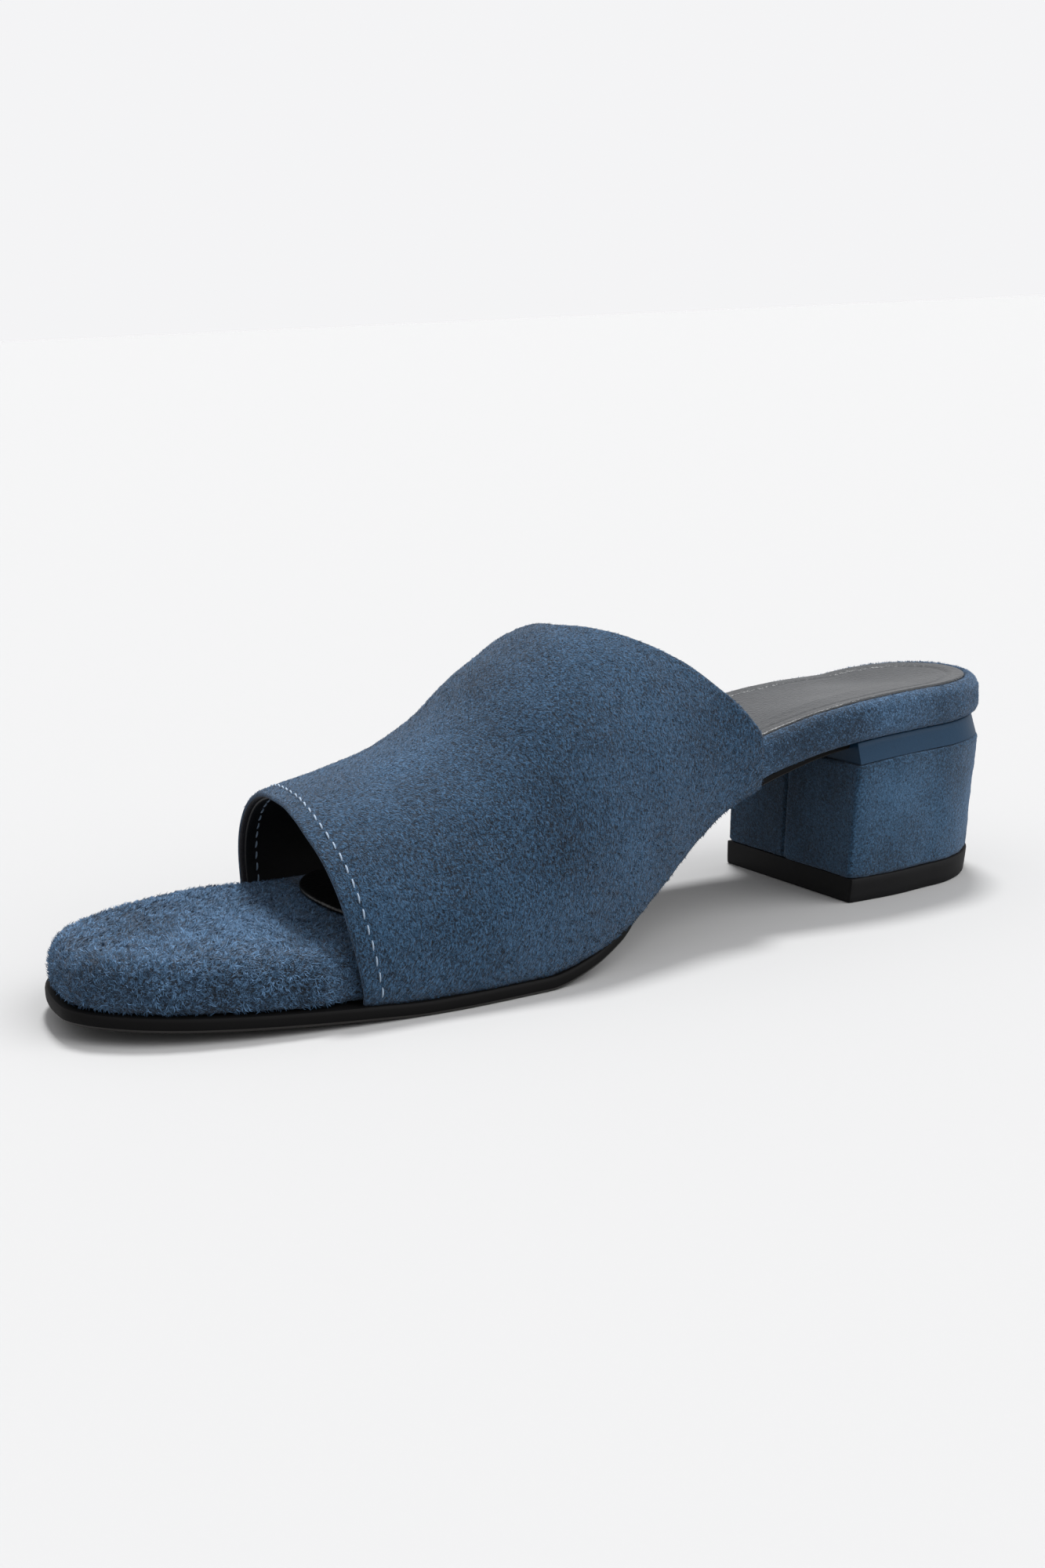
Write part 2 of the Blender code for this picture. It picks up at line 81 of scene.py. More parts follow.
OUTLINE = {
    "y":       [27.7, 42.0, 65.0, 90.0, 103.0, 116.0, 128.0, 140.0, 153.0, 166.0, 190.0, 210.0, 225.0, 237.0, 245.0],
    "medial":  [26.0, 27.2, 26.2, 26.2, 29.0, 33.8, 37.9, 40.4, 41.6, 41.5, 39.3, 35.5, 31.0, 25.2, 18.6],
    "lateral": [26.0, 27.2, 29.6, 31.2, 33.0, 35.7, 38.4, 40.6, 42.2, 42.7, 40.9, 37.0, 31.4, 23.4, 14.8],
}
BED_LINE = {
    "y": [0.0, 20.0, 38.0, 50.0, 60.0, 70.0, 78.0, 90.0, 102.0, 115.0, 128.0, 140.0, 152.0, 166.0, 180.0, 195.0, 220.0, 250.0],
    "z": [40.7, 41.0, 40.9, 40.2, 38.8, 36.6, 34.5, 30.4, 24.1, 16.5, 9.7, 5.4, 3.2, 3.2, 3.2, 4.0, 5.3, 7.0],
}
BAND = {
    "y":            [60.0, 90.0, 115.0, 127.0, 140.0, 152.0, 165.0, 190.0, 212.0],
    "ridge_z":      [70.0, 71.5, 75.0, 74.0, 67.9, 57.6, 50.0, 43.6, 38.0],
    "ridge_x":      [-0.5, -0.7, -1.0, -1.2, -1.4, -1.6, -1.8, -2.2, -2.5],
    "medial_full":  [2.50, 2.44, 2.30, 2.24, 2.20, 2.20, 2.22, 2.25, 2.26],
    "lateral_full": [2.45, 2.38, 2.18, 2.10, 2.04, 2.12, 2.22, 2.40, 2.45],
}
EDGES = {
    "round": [0.0, 0.07, 0.13, 0.2, 0.28, 0.36, 0.43, 0.5, 0.57, 0.65, 0.8, 0.93, 1.0],
    "back":  [82.6, 81.6, 84.8, 90.4, 98.2, 109.2, 118.4, 124.0, 124.4, 119.6, 101.2, 87.6, 86.2],
    "front": [195.2, 196.2, 196.9, 197.4, 197.8, 198.0, 197.4, 196.0, 194.2, 192.5, 191.0, 189.2, 188.4],
}

# ---------------------------------------------------------------- sizes of the surfaces (mm)
SUEDE = 1.6             # the band's suede with its backing, folded over at the edges
LINING = 0.7
LINING_BACK_OFF = 1.1   # the lining stops this far inside the folded edge
STITCH_IN = 4.0         # decorative row, from the band's front edge
STITCH_PITCH = 3.45
STITCH = 2.35
THREAD = 0.22           # thread's half thickness
EMBOSS_IN = 4.4         # embossed line, from the sock's edge
SEAM_X = 2.6            # seam in the heel's cover, on the breast

# Soft troughs (negative) and swells (positive) of the band, each a bell round a line from (x, y, z) to (x, y, z).
BAND_FOLDS = {
    "from":   [(-44, 176, 8), (-42, 120, 40), (-38, 101, 30), (-34, 92, 40), (-42, 150, 30), (-30, 150, 52), (36, 150, 30), (-41, 134, 14)],
    "to":     [(-36, 172, 40), (-30, 118, 62), (-34, 88, 31), (-31, 88, 52), (-43, 168, 14), (-12, 176, 46), (30, 130, 55), (-42, 118, 24)],
    "wide":   [9.0, 8.0, 2.6, 4.0, 10.0, 9.0, 10.0, 4.0],
    "height": [-0.55, -0.45, -0.35, 0.3, 0.5, -0.4, -0.5, -0.3],
}
# Brushed patches of the nap: centre, radius and how much lighter (or darker) the nap lies there.
PATCHES = {
    "at":     [(-6, 205, 16), (10, 222, 17), (-22, 236, 16), (-34, 190, 40), (-12, 168, 52), (-38, 145, 30), (-36, 108, 44),
               (-40, 160, 12), (-20, 128, 72), (-41, 122, 26), (-27, 40, 24), (-25, 20, 26), (-26, 70, 44), (0, 228, 17)],
    "radius": [13.0, 11.0, 10.0, 14.0, 15.0, 14.0, 10.0, 13.0, 16.0, 8.0, 9.0, 8.0, 10.0, 6.0],
    "amount": [0.9, -0.5, 0.5, -0.3, 0.7, -0.5, 0.6, 0.4, 0.25, 0.7, 0.5, -0.4, -0.3, -0.5],
}


# ---------------------------------------------------------------- curves and forms
def through(xs, ys, x):
    """Smooth curve through a table's points that never overshoots between them."""
    xs, ys, x = (np.asarray(v, float) for v in (xs, ys, x))
    h = np.diff(xs)
    d = np.diff(ys) / h
    m = np.empty(len(xs))
    m[0], m[-1] = d[0], d[-1]
    for i in range(1, len(xs) - 1):
        if d[i - 1] * d[i] <= 0:
            m[i] = 0.0
        else:
            w1, w2 = 2 * h[i] + h[i - 1], h[i] + 2 * h[i - 1]
            m[i] = (w1 + w2) / (w1 / d[i - 1] + w2 / d[i])
    x = np.clip(x, xs[0], xs[-1])
    i = np.clip(np.searchsorted(xs, x, side="right") - 1, 0, len(h) - 1)
    t = (x - xs[i]) / h[i]
    return (ys[i] * (2 * t**3 - 3 * t**2 + 1) + m[i] * h[i] * (t**3 - 2 * t**2 + t)
            + ys[i + 1] * (3 * t**2 - 2 * t**3) + m[i + 1] * h[i] * (t**3 - t**2))


def half_plan(side, y):
    y = np.asarray(y, float)
    sign = -1.0 if side == "medial" else 1.0
    rows = [LENGTH] + OUTLINE["y"][::-1]
    root = [math.sqrt(LENGTH - v) for v in rows]
    width = [sign * TOE_TIP_X] + OUTLINE[side][::-1]
    fore = through(root, width, np.sqrt(np.maximum(LENGTH - np.maximum(y, SEAT_DEPTH), 0)))
    back = np.clip((SEAT_DEPTH - y) / SEAT_DEPTH, 0, 1)
    seat = SEAT_HALF * (1 - back**SEAT_POWER) ** (1 / SEAT_POWER)
    return sign * np.where(y < SEAT_DEPTH, seat, fore)


def footbed_thickness(y):
    return np.interp(y, [60.0, 140.0], [FOOTBED_HEEL, FOOTBED_TOE])


def sole_thickness(y):
    return np.interp(y, [112.0, 150.0], [SOLE_WAIST, SOLE_TREAD])


def footbed_under(y):
    return through(BED_LINE["y"], BED_LINE["z"], y)


def sole_under(y):
    return np.maximum(footbed_under(y) - GAP - sole_thickness(y), 0.0)


def rim_tilt(x, y):
    amount = np.interp(y, [4.0, 28.0, 105.0, 140.0], [0.0, RIM_TILT, RIM_TILT, 0.0])
    return amount * np.clip((np.asarray(x, float) + 10.0) / 36.0, 0, 1)


def sock_seat(y):
    return SOCK_SEAT * np.interp(y, [150.0, 178.0], [1.0, 0.0])


def dish(y):
    return np.interp(y, [0.0, 25.0, 90.0, 150.0, 200.0, 250.0],
                     [0.0, -SEAT_CUP, -0.9, -0.2, TOE_CROWN, 0.9])


def side_stations(start, end, count):
    u = np.arange(count + 1) / count
    return start + (end - start) * (1 - np.cos(math.pi * u)) / 2


def plan_loop(stations):
    medial = np.column_stack([half_plan("medial", stations), stations])
    lateral = np.column_stack([half_plan("lateral", stations), stations])
    closed_back, closed_front = stations[0] <= 1e-6, stations[-1] >= LENGTH - 1e-6
    first = 1 if closed_back else 0
    last = len(stations) - 1 if closed_front else len(stations)
    return np.vstack([medial, lateral[first:last][::-1]])


def normals2(loop):
    tangent = np.roll(loop, -1, 0) - np.roll(loop, 1, 0)
    tangent /= np.linalg.norm(tangent, axis=1)[:, None]
    return np.column_stack([-tangent[:, 1], tangent[:, 0]])


def moved_in(loop, inset):
    return loop - normals2(loop) * np.asarray(inset, float).reshape(-1, 1)


def eased_in(loop, inset, reach=12):
    """As moved_in, but far from the edge the loop's small hollows are evened out, so that it never crosses itself."""
    n = normals2(loop)
    w = np.hanning(2 * reach + 3)[1:-1]
    even = sum(wi * np.roll(n, k - reach, axis=0) for k, wi in enumerate(w))
    even /= np.linalg.norm(even, axis=1)[:, None]
    share = min(max((inset - 0.8) / 3.2, 0.0), 1.0)
    n = (1 - share) * n + share * even
    return loop - n / np.linalg.norm(n, axis=1)[:, None] * inset


def tuck(loop):
    x, y = loop[:, 0], loop[:, 1]
    back = np.where(x < 0, min(EDGES["back"][:2]), min(EDGES["back"][-2:])) - 2.5
    front = np.where(x < 0, max(EDGES["front"][:2]), max(EDGES["front"][-2:])) + 1.0
    share = np.clip(1 - np.maximum(np.maximum(back - y, 0) / BACK_RAMP, np.maximum(y - front, 0) / TUCK_RAMP), 0, 1)
    return TUCK * share * share * (3 - 2 * share)


def band_point(round_, y):
    """Outer face of the band, round_ from 0 at the medial base over the ridge to 1 at the lateral base."""
    y = np.asarray(y, float)
    base = footbed_under(y) + BAND_LIFT
    ridge = through(BAND["y"], BAND["ridge_z"], y)
    middle = through(BAND["y"], BAND["ridge_x"], y)
    left = half_plan("medial", y) - BAND_OUT
    right = half_plan("lateral", y) + BAND_OUT
    angle = math.pi * np.asarray(round_, float)
    full = np.where(angle < math.pi / 2, through(BAND["y"], BAND["medial_full"], y),
                    through(BAND["y"], BAND["lateral_full"], y))
    reach = np.where(angle < math.pi / 2, left - middle, right - middle)
    x = middle + reach * np.abs(np.cos(angle)) ** (2 / full)
    z = base + (ridge - base) * np.abs(np.sin(angle)) ** (2 / full)
    return np.stack([x, y + 0 * x, z], -1)


# ---------------------------------------------------------------- seeded fields
def lattice(i, j, k, seed):
    h = (i * 374761393 + j * 668265263 + k * 1274126177 + seed * 974634777) & 0xFFFFFFFF
    h = ((h ^ (h >> 13)) * 1103515245) & 0xFFFFFFFF
    h = (h ^ (h >> 16)) & 0xFFFF
    return h / 32767.5 - 1.0


def noise(p, scale, seed=0):
    """Smooth value noise, about -1 to 1, of points in mm."""
    q = np.asarray(p, float) / scale + 1000.0
    i = np.floor(q).astype(np.int64)
    f = q - i
    f = f * f * (3 - 2 * f)
    out = 0.0
    for a in (0, 1):
        for b in (0, 1):
            for c in (0, 1):
                w = ((f[..., 0] if a else 1 - f[..., 0]) * (f[..., 1] if b else 1 - f[..., 1])
                     * (f[..., 2] if c else 1 - f[..., 2]))
                out = out + w * lattice(i[..., 0] + a, i[..., 1] + b, i[..., 2] + c, seed)
    return out


def tufts(p, long, short, seed):
    """The nap's tufts, about -1 to 1: short dashes that lie down towards the heel, curled by a slow warp."""
    p = np.asarray(p, float)
    warp = np.stack([noise(p, 2.4, seed + 5), noise(p, 2.4, seed + 6), noise(p, 2.4, seed + 7)], -1) * 0.35
    q = p + warp
    lay = (q[..., 1] * 0.72 + q[..., 2] * 0.69) / long
    across = (q[..., 1] * -0.69 + q[..., 2] * 0.72) / short
    out = noise(np.stack([q[..., 0] / short, lay, across], -1), 1.0, seed)
    return np.clip(out * 2.3, -1, 1)


def from_line(p, a, b):
    """Distance of points to the line from a to b."""
    a, b = np.asarray(a, float), np.asarray(b, float)
    d = b - a
    t = np.clip(((p - a) @ d) / (d @ d), 0, 1)
    return np.linalg.norm(p - (a + t[..., None] * d), axis=-1)


def brushed(p):
    """How much lighter or darker the nap is brushed, at points in mm."""
    out = 0.42 * noise(p, 21.0, 3) + 0.3 * noise(p, 9.0, 4)
    for at, radius, amount in zip(PATCHES["at"], PATCHES["radius"], PATCHES["amount"]):
        out = out + amount * np.exp(-(((p - np.array(at)) ** 2).sum(-1)) / radius**2)
    return out


# ---------------------------------------------------------------- meshes
def outward(points, faces):
    """The faces of a closed form, all turned round if they point into it."""
    tris = triangles(faces)
    a, b, c = (points[tris[:, k]] for k in range(3))
    return faces if (a * np.cross(b, c)).sum() > 0 else [tuple(f)[::-1] for f in faces]


def make(name, points, faces, materials, face_material=None, uv=None, floats=None, smooth=True, sharp=None):
    mesh = bpy.data.meshes.new(name)
    points = np.asarray(points, float)
    mesh.from_pydata(((points + SHIFT) * MM).tolist(), [], [tuple(f) for f in outward(points, faces)])
    for material in materials:
        mesh.materials.append(material)
    if face_material is not None:
        mesh.polygons.foreach_set("material_index", np.asarray(face_material, np.int32))
    if smooth:
        mesh.shade_smooth()
    if sharp:
        mesh.set_sharp_from_angle(angle=math.radians(sharp))
    if uv is not None:
        layer = mesh.uv_layers.new(name="nap")
        corner = np.empty(len(mesh.loops), np.int32)
        mesh.loops.foreach_get("vertex_index", corner)
        layer.data.foreach_set("uv", (np.asarray(uv, float)[corner] * MM).astype(np.float32).ravel())
    for key, values in (floats or {}).items():
        mesh.attributes.new(key, "FLOAT", "POINT").data.foreach_set("value", np.asarray(values, np.float32))
    mesh.validate()
    mesh.update()
    obj = bpy.data.objects.new(name, mesh)
    bpy.context.scene.collection.objects.link(obj)
    return obj


def ride(obj, replaces=None):
    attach(obj, "root")
    if replaces:
        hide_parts(replaces)
    return obj


def grid_faces(rows, columns, wrap_rows=False, wrap_columns=False, start=0):
    i = np.arange(rows if wrap_rows else rows - 1)
    j = np.arange(columns if wrap_columns else columns - 1)
    i, j = np.meshgrid(i, j, indexing="ij")
    i2, j2 = (i + 1) % rows, (j + 1) % columns
    quad = np.stack([i * columns + j, i * columns + j2, i2 * columns + j2, i2 * columns + j], -1) + start
    return quad.reshape(-1, 4)


def triangles(faces):
    out = []
    for f in faces:
        for k in range(1, len(f) - 1):
            out.append((f[0], f[k], f[k + 1]))
    return np.array(out)


def vertex_normals(points, tris):
    n = np.zeros_like(points)
    cross = np.cross(points[tris[:, 1]] - points[tris[:, 0]], points[tris[:, 2]] - points[tris[:, 0]])
    for k in range(3):
        np.add.at(n, tris[:, k], cross)
    return n / np.maximum(np.linalg.norm(n, axis=1), 1e-12)[:, None]


def unit(v):
    return v / np.maximum(np.linalg.norm(v, axis=-1), 1e-12)[..., None]


def grid_normals(p):
    return unit(np.cross(np.gradient(p, axis=0), np.gradient(p, axis=1)))


def nap(name, points, tris, count, seed, length, width, lift, spread, flow, keep, material, curl=False, dash=(0.6, 0.32), mix=(0.4, 0.3), tone=0.5, short=None):
    """Short fibres of the nap, rooted just under the surface. flow gives the direction they are brushed in,
    spread is how far they turn from it (1 is any way), lift how far they stand up, keep how dense they are."""
    rng = np.random.default_rng(seed)
    normal = vertex_normals(points, tris)
    a, b, c = (points[tris[:, k]] for k in range(3))
    area = np.linalg.norm(np.cross(b - a, c - a), axis=1) / 2 * keep((a + b + c) / 3)
    pick = rng.choice(len(tris), size=count, p=area / area.sum())
    u, v = rng.random(count), rng.random(count)
    turn = u + v > 1
    u, v = np.where(turn, 1 - u, u), np.where(turn, 1 - v, v)
    w = 1 - u - v
    t = tris[pick]
    p = points[t[:, 0]] * w[:, None] + points[t[:, 1]] * u[:, None] + points[t[:, 2]] * v[:, None]
    n = unit(normal[t[:, 0]] * w[:, None] + normal[t[:, 1]] * u[:, None] + normal[t[:, 2]] * v[:, None])
    d = flow(p)
    d = unit(d - (d * n).sum(-1)[:, None] * n)
    # The nap's direction wanders in tufts, and each fibre wanders a little more.
    angle = math.pi * spread * (1.0 * noise(p, 1.3, seed + 1) + 0.35 * rng.standard_normal(count))
    d = d * np.cos(angle)[:, None] + np.cross(n, d) * np.sin(angle)[:, None]
    up = lift * (0.55 + 0.5 * noise(p, 0.9, seed + 2) + 0.5 * rng.random(count))
    along = unit(d * np.cos(up)[:, None] + n * np.sin(up)[:, None])
    reach = length * (0.55 + 0.75 * rng.random(count)) * (1.0 if short is None else short(p))
    side = unit(np.cross(along, n) + 0.5 * n * rng.standard_normal(count)[:, None])
    half = side * (width / 2 * (0.7 + 0.6 * rng.random(count)))[:, None]
    root = p - n * 0.12
    tone = tone + mix[0] * tufts(p, dash[0], dash[1], seed + 3) + mix[1] * (rng.random(count) - 0.5)
    soft = brushed(p)
    # light runs from 0 at a fibre's root to 1 at its tip; through the tip attribute it makes the roots darker:
    # painted shade inside the nap.
    if not curl:
        tip = root + along * reach[:, None]
        co = np.stack([root - half, root + half, tip], 1)
        faces = np.arange(count * 3).reshape(-1, 3)
        light = np.stack([0 * tone, 0 * tone, 1 + 0 * tone], 1)
    else:
        bend = unit(along * 0.55 + d * 0.55 + 0.45 * side * np.sign(rng.standard_normal(count))[:, None])
        middle = root + along * reach[:, None] * 0.55
        tip = middle + bend * reach[:, None] * 0.5
        co = np.stack([root - half, root + half, middle - half * 0.8, middle + half * 0.8, tip], 1)
        base = np.arange(count)[:, None] * 5
        faces = np.concatenate([base + [0, 1, 3], base + [0, 3, 2], base + [2, 3, 4]], 0)
        light = np.stack([0 * tone, 0 * tone, 0.6 + 0 * tone, 0.6 + 0 * tone, 1 + 0 * tone], 1)
    per = co.shape[1]
    mesh = bpy.data.meshes.new(name)
    flat = ((co.reshape(-1, 3) + SHIFT) * MM).astype(np.float32)
    mesh.vertices.add(len(flat))
    mesh.vertices.foreach_set("co", flat.ravel())
    mesh.loops.add(faces.size)
    mesh.loops.foreach_set("vertex_index", faces.astype(np.int32).ravel())
    mesh.polygons.add(len(faces))
    mesh.polygons.foreach_set("loop_start", np.arange(0, faces.size, 3, dtype=np.int32))
    mesh.materials.append(material)
    mesh.attributes.new("tone", "FLOAT", "POINT").data.foreach_set("value", np.repeat(tone, per).astype(np.float32))
    mesh.attributes.new("tip", "FLOAT", "POINT").data.foreach_set("value", light.ravel().astype(np.float32))
    mesh.attributes.new("brush", "FLOAT", "POINT").data.foreach_set("value", np.repeat(soft, per).astype(np.float32))
    mesh.update(calc_edges=True)
    obj = bpy.data.objects.new(name, mesh)
    bpy.context.scene.collection.objects.link(obj)
    return ride(obj)


# ---------------------------------------------------------------- materials
class Tree:
    """A material's node tree, with short ways to add and join nodes."""

    def __init__(self, name, roughness, **sockets):
        self.material = bpy.data.materials.new(name)
        self.material.use_nodes = True
        self.tree = self.material.node_tree
        self.shader = self.tree.nodes["Principled BSDF"]
        self.shader.inputs["Roughness"].default_value = roughness
        for key, value in sockets.items():
            self.shader.inputs[key.replace("_", " ")].default_value = value

    def node(self, kind, **settings):
        n = self.tree.nodes.new(kind)
        for key, value in settings.items():
            setattr(n, key, value)
        return n

    def join(self, a, b):
        self.tree.links.new(a, b)

    def attribute(self, name):
        return self.node("ShaderNodeAttribute", attribute_name=name).outputs["Fac"]

    def coordinates(self, uv=False):
        if uv:
            return self.node("ShaderNodeUVMap", uv_map="nap").outputs["UV"]
        return self.node("ShaderNodeTexCoord").outputs["Object"]

    def moved(self, source, scale, angle=0.0):
        """Coordinates turned by angle, then scaled so that one unit is so many mm each way."""
        turn = self.node("ShaderNodeMapping", vector_type="POINT")
        turn.inputs["Rotation"].default_value = (0, 0, angle)
        self.join(source, turn.inputs["Vector"])
        size = self.node("ShaderNodeMapping", vector_type="POINT")
        size.inputs["Scale"].default_value = tuple(1 / (s * MM) for s in scale)
        self.join(turn.outputs["Vector"], size.inputs["Vector"])
        return size.outputs["Vector"]

    def noise(self, vector, detail=2.0, roughness=0.5, distortion=0.0):
        n = self.node("ShaderNodeTexNoise")
        n.inputs["Scale"].default_value = 1.0
        n.inputs["Detail"].default_value = detail
        n.inputs["Roughness"].default_value = roughness
        n.inputs["Distortion"].default_value = distortion
        self.join(vector, n.inputs["Vector"])
        return n.outputs["Fac"]

    def cells(self, vector, feature="F1"):
        n = self.node("ShaderNodeTexVoronoi", feature=feature)
        n.inputs["Scale"].default_value = 1.0
        self.join(vector, n.inputs["Vector"])
        return n.outputs["Distance"]

    def sum(self, terms, constant=0.0):
        """constant + factor * value for each (value, factor)."""
        total = None
        for value, factor in terms:
            n = self.node("ShaderNodeMath", operation="MULTIPLY_ADD")
            self.join(value, n.inputs[0])
            n.inputs[1].default_value = factor
            if total is None:
                n.inputs[2].default_value = constant
            else:
                self.join(total, n.inputs[2])
            total = n.outputs[0]
        return total

    def ramp(self, value, stops):
        n = self.node("ShaderNodeValToRGB")
        e = n.color_ramp.elements
        while len(e) < len(stops):
            e.new(0.5)
        for k, (at, colour) in enumerate(stops):
            e[k].position = at
            e[k].color = (*colour, 1.0)
        self.join(value, n.inputs["Fac"])
        return n.outputs["Color"]

    def colour(self, output):
        self.join(output, self.shader.inputs["Base Color"])

    def bump(self, height, distance, strength=1.0):
        n = self.node("ShaderNodeBump")
        n.inputs["Strength"].default_value = strength
        n.inputs["Distance"].default_value = distance * MM
        self.join(height, n.inputs["Height"])
        self.join(n.outputs["Normal"], self.shader.inputs["Normal"])


def times(colour, k):
    return tuple(c * k for c in colour)


def pale(colour, k, grey):
    """A lighter tone of a colour, with some grey in it."""
    return tuple(c * k + grey for c in colour)


def suede(name, colour, uv=False, angle=0.0, streak=(1.15, 0.5, 0.8), depth=0.25, shade=0.0, strong=1.0):
    m = Tree(name, 0.95, Sheen_Weight=0.18, Sheen_Roughness=0.5, Specular_IOR_Level=0.2)
    m.shader.inputs["Sheen Tint"].default_value = (0.62, 0.76, 1.0, 1.0)
    where = m.coordinates(uv)
    lines = m.noise(m.moved(where, streak, angle), 3.0, 0.6, 0.9)
    fine = m.noise(m.moved(m.coordinates(), (0.45, 0.45, 0.45)), 2.0, 0.6)
    # The streaks drive both the colour and the bump, so the ramp's dark end lies in the nap's hollows and its light,
    # greyed end on the ridges: painted shade and painted highlight of the nap, over its random tone.
    value = m.sum([(lines, 2.3 * strong), (fine, 0.6 * strong), (m.attribute("brush"), 0.17)],
                  0.5 - 1.45 * strong + shade)
    m.colour(m.ramp(value, [(0.18, times(colour, 0.06)), (0.42, times(colour, 0.45)), (0.57, times(colour, 1.4)),
                            (0.85, pale(colour, 2.6, 0.012))]))
    m.bump(m.sum([(lines, 1.0), (fine, 0.25)]), depth)
    return m.material


def fibre(name, colour, brush=0.17):
    m = Tree(name, 0.9, Sheen_Weight=0.2, Sheen_Roughness=0.5, Specular_IOR_Level=0.2)
    m.shader.inputs["Sheen Tint"].default_value = (0.62, 0.76, 1.0, 1.0)
    # The tip attribute lightens each fibre towards its tip and leaves the root dark: painted shade inside the nap.
    value = m.sum([(m.attribute("tone"), 0.8), (m.attribute("tip"), 0.16), (m.attribute("brush"), brush)], 0.02)
    m.colour(m.ramp(value, [(0.1, times(colour, 0.1)), (0.36, times(colour, 0.5)), (0.62, times(colour, 1.3)),
                            (0.95, pale(colour, 2.6, 0.017))]))
    return m.material


def leather(name, colour, roughness, cell, depth, spread=0.25, coat=0.0, specular=0.4, painted_shade=None):
    m = Tree(name, roughness, Specular_IOR_Level=specular, Coat_Weight=coat, Coat_Roughness=0.35)
    where = m.coordinates()
    pebble = m.cells(m.moved(where, (cell,) * 3))
    fine = m.noise(m.moved(where, (cell * 0.5,) * 3), 3.0, 0.6)
    cloud = m.noise(m.moved(where, (14.0,) * 3), 2.0)
    terms = [(pebble, 0.35), (fine, 0.2), (cloud, 0.35)]
    # An attribute given here pushes the colour towards the ramp's dark end: painted shade where it is set.
    if painted_shade:
        terms.append((m.attribute(painted_shade), 0.9))
    value = m.sum(terms, -0.1)
    m.colour(m.ramp(value, [(0.0, times(colour, 1 + spread)), (0.6, times(colour, 1 - spread)), (1.0, times(colour, 0.12))]))
    m.bump(m.sum([(pebble, -0.8), (fine, 0.5)]), depth)
    return m.material


def rubber(name, colour, roughness, grain=0.25, depth=0.03, spread=0.35, specular=0.4):
    m = Tree(name, roughness, Specular_IOR_Level=specular)
    where = m.coordinates()
    fine = m.noise(m.moved(where, (grain,) * 3), 3.0, 0.6)
    cloud = m.noise(m.moved(where, (9.0, 9.0, 3.0)), 2.0)
    value = m.sum([(fine, 0.5), (cloud, 0.5)])
    m.colour(m.ramp(value, [(0.25, times(colour, 1 - spread)), (0.75, times(colour, 1 + spread))]))
    m.bump(fine, depth)
    return m.material


def thread(name, colour):
    m = Tree(name, 0.6, Sheen_Weight=0.2)
    twist = m.noise(m.moved(m.coordinates(), (0.25, 0.25, 0.25)), 1.0)
    m.colour(m.ramp(twist, [(0.3, times(colour, 0.72)), (0.7, colour)]))
    m.bump(twist, 0.08)
    return m.material


def floor_paper(name, value):
    m = Tree(name, 0.9, Specular_IOR_Level=0.15)
    grain = m.noise(m.moved(m.coordinates(), (1.5,) * 3), 2.0)
    m.colour(m.ramp(grain, [(0.0, times(value, 0.997)), (1.0, times(value, 1.003))]))
    return m.material


BLUE = (0.0076, 0.0256, 0.0515)
BED_BLUE = (0.0215, 0.048, 0.087)
HEEL_BLUE = (0.0118, 0.0325, 0.0612)

upper_suede = suede("upper_suede", BLUE, uv=True, angle=math.radians(38), streak=(0.85, 0.4, 0.6), depth=0.6, strong=0.85)
upper_edge = leather("folded_edge", (0.017, 0.016, 0.019), 0.85, 0.7, 0.12)
upper_fibre = fibre("upper_nap", BLUE)
bed_suede = suede("footbed_suede", BED_BLUE, streak=(0.8, 0.7, 0.6), depth=0.8, shade=-0.12)
bed_fibre = fibre("footbed_nap", BED_BLUE)
seat_suede = suede("seat_suede", BED_BLUE, streak=(0.55, 0.5, 0.5), depth=0.35, shade=-0.03, strong=0.6)
heel_suede = suede("heel_suede", HEEL_BLUE, streak=(0.6, 0.5, 0.5), depth=0.3, strong=0.5)
heel_fibre = fibre("heel_nap", HEEL_BLUE, 0.24)
lining_leather = leather("black_lining", (0.003, 0.003, 0.0034), 0.6, 0.6, 0.05)
# The sock's front, under the band, is painted darker through its front attribute: painted shade.
sock_leather = leather("sock_leather", (0.017, 0.019, 0.0215), 0.33, 1.0, 0.16, 0.3, specular=0.16, painted_shade="front")
rand_leather = leather("rand_leather", (0.0048, 0.0222, 0.0475), 0.5, 0.5, 0.02, 0.12, specular=0.12)
black_rubber = rubber("top_piece_rubber", (0.0032, 0.0032, 0.0036), 0.7, specular=0.14)
sole_rubber = rubber("outsole_rubber", (0.002, 0.0019, 0.002), 0.65, specular=0.08)
# The chamfer at the sole's lower edge is painted much lighter than the sole: a painted highlight. Its lower roughness
# and higher specular are the edge's own finish.
sole_edge_highlight = rubber("outsole_edge_painted_highlight", (0.014, 0.013, 0.012), 0.42, spread=0.2, specular=0.35)
pale_thread = thread("pale_thread", (0.17, 0.235, 0.32))


# ---------------------------------------------------------------- the band
ROUND, ALONG = 210, 110


def band_surface(rounds, y, folds=True):
    """The band's outer face with its base rolled in under the shoe, and its soft folds."""
    p = band_point(rounds, y)
    base = footbed_under(y) + BAND_LIFT
    height = p[..., 2] - base
    roll = np.clip(1 - height / 3.2, 0, 1) ** 2
    p[..., 0] -= np.sign(p[..., 0]) * 1.1 * roll
    p[..., 2] -= 0.35 * roll
    if folds:
        n = grid_normals(p)
        move = 0.32 * noise(p, 17.0, 11) + 0.16 * noise(p, 7.0, 12)
        for a, b, wide, amount in zip(*(BAND_FOLDS[k] for k in ("from", "to", "wide", "height"))):
            move = move + amount * np.exp(-(from_line(p, a, b) / wide) ** 2)
        p = p + n * move[..., None]
    return p


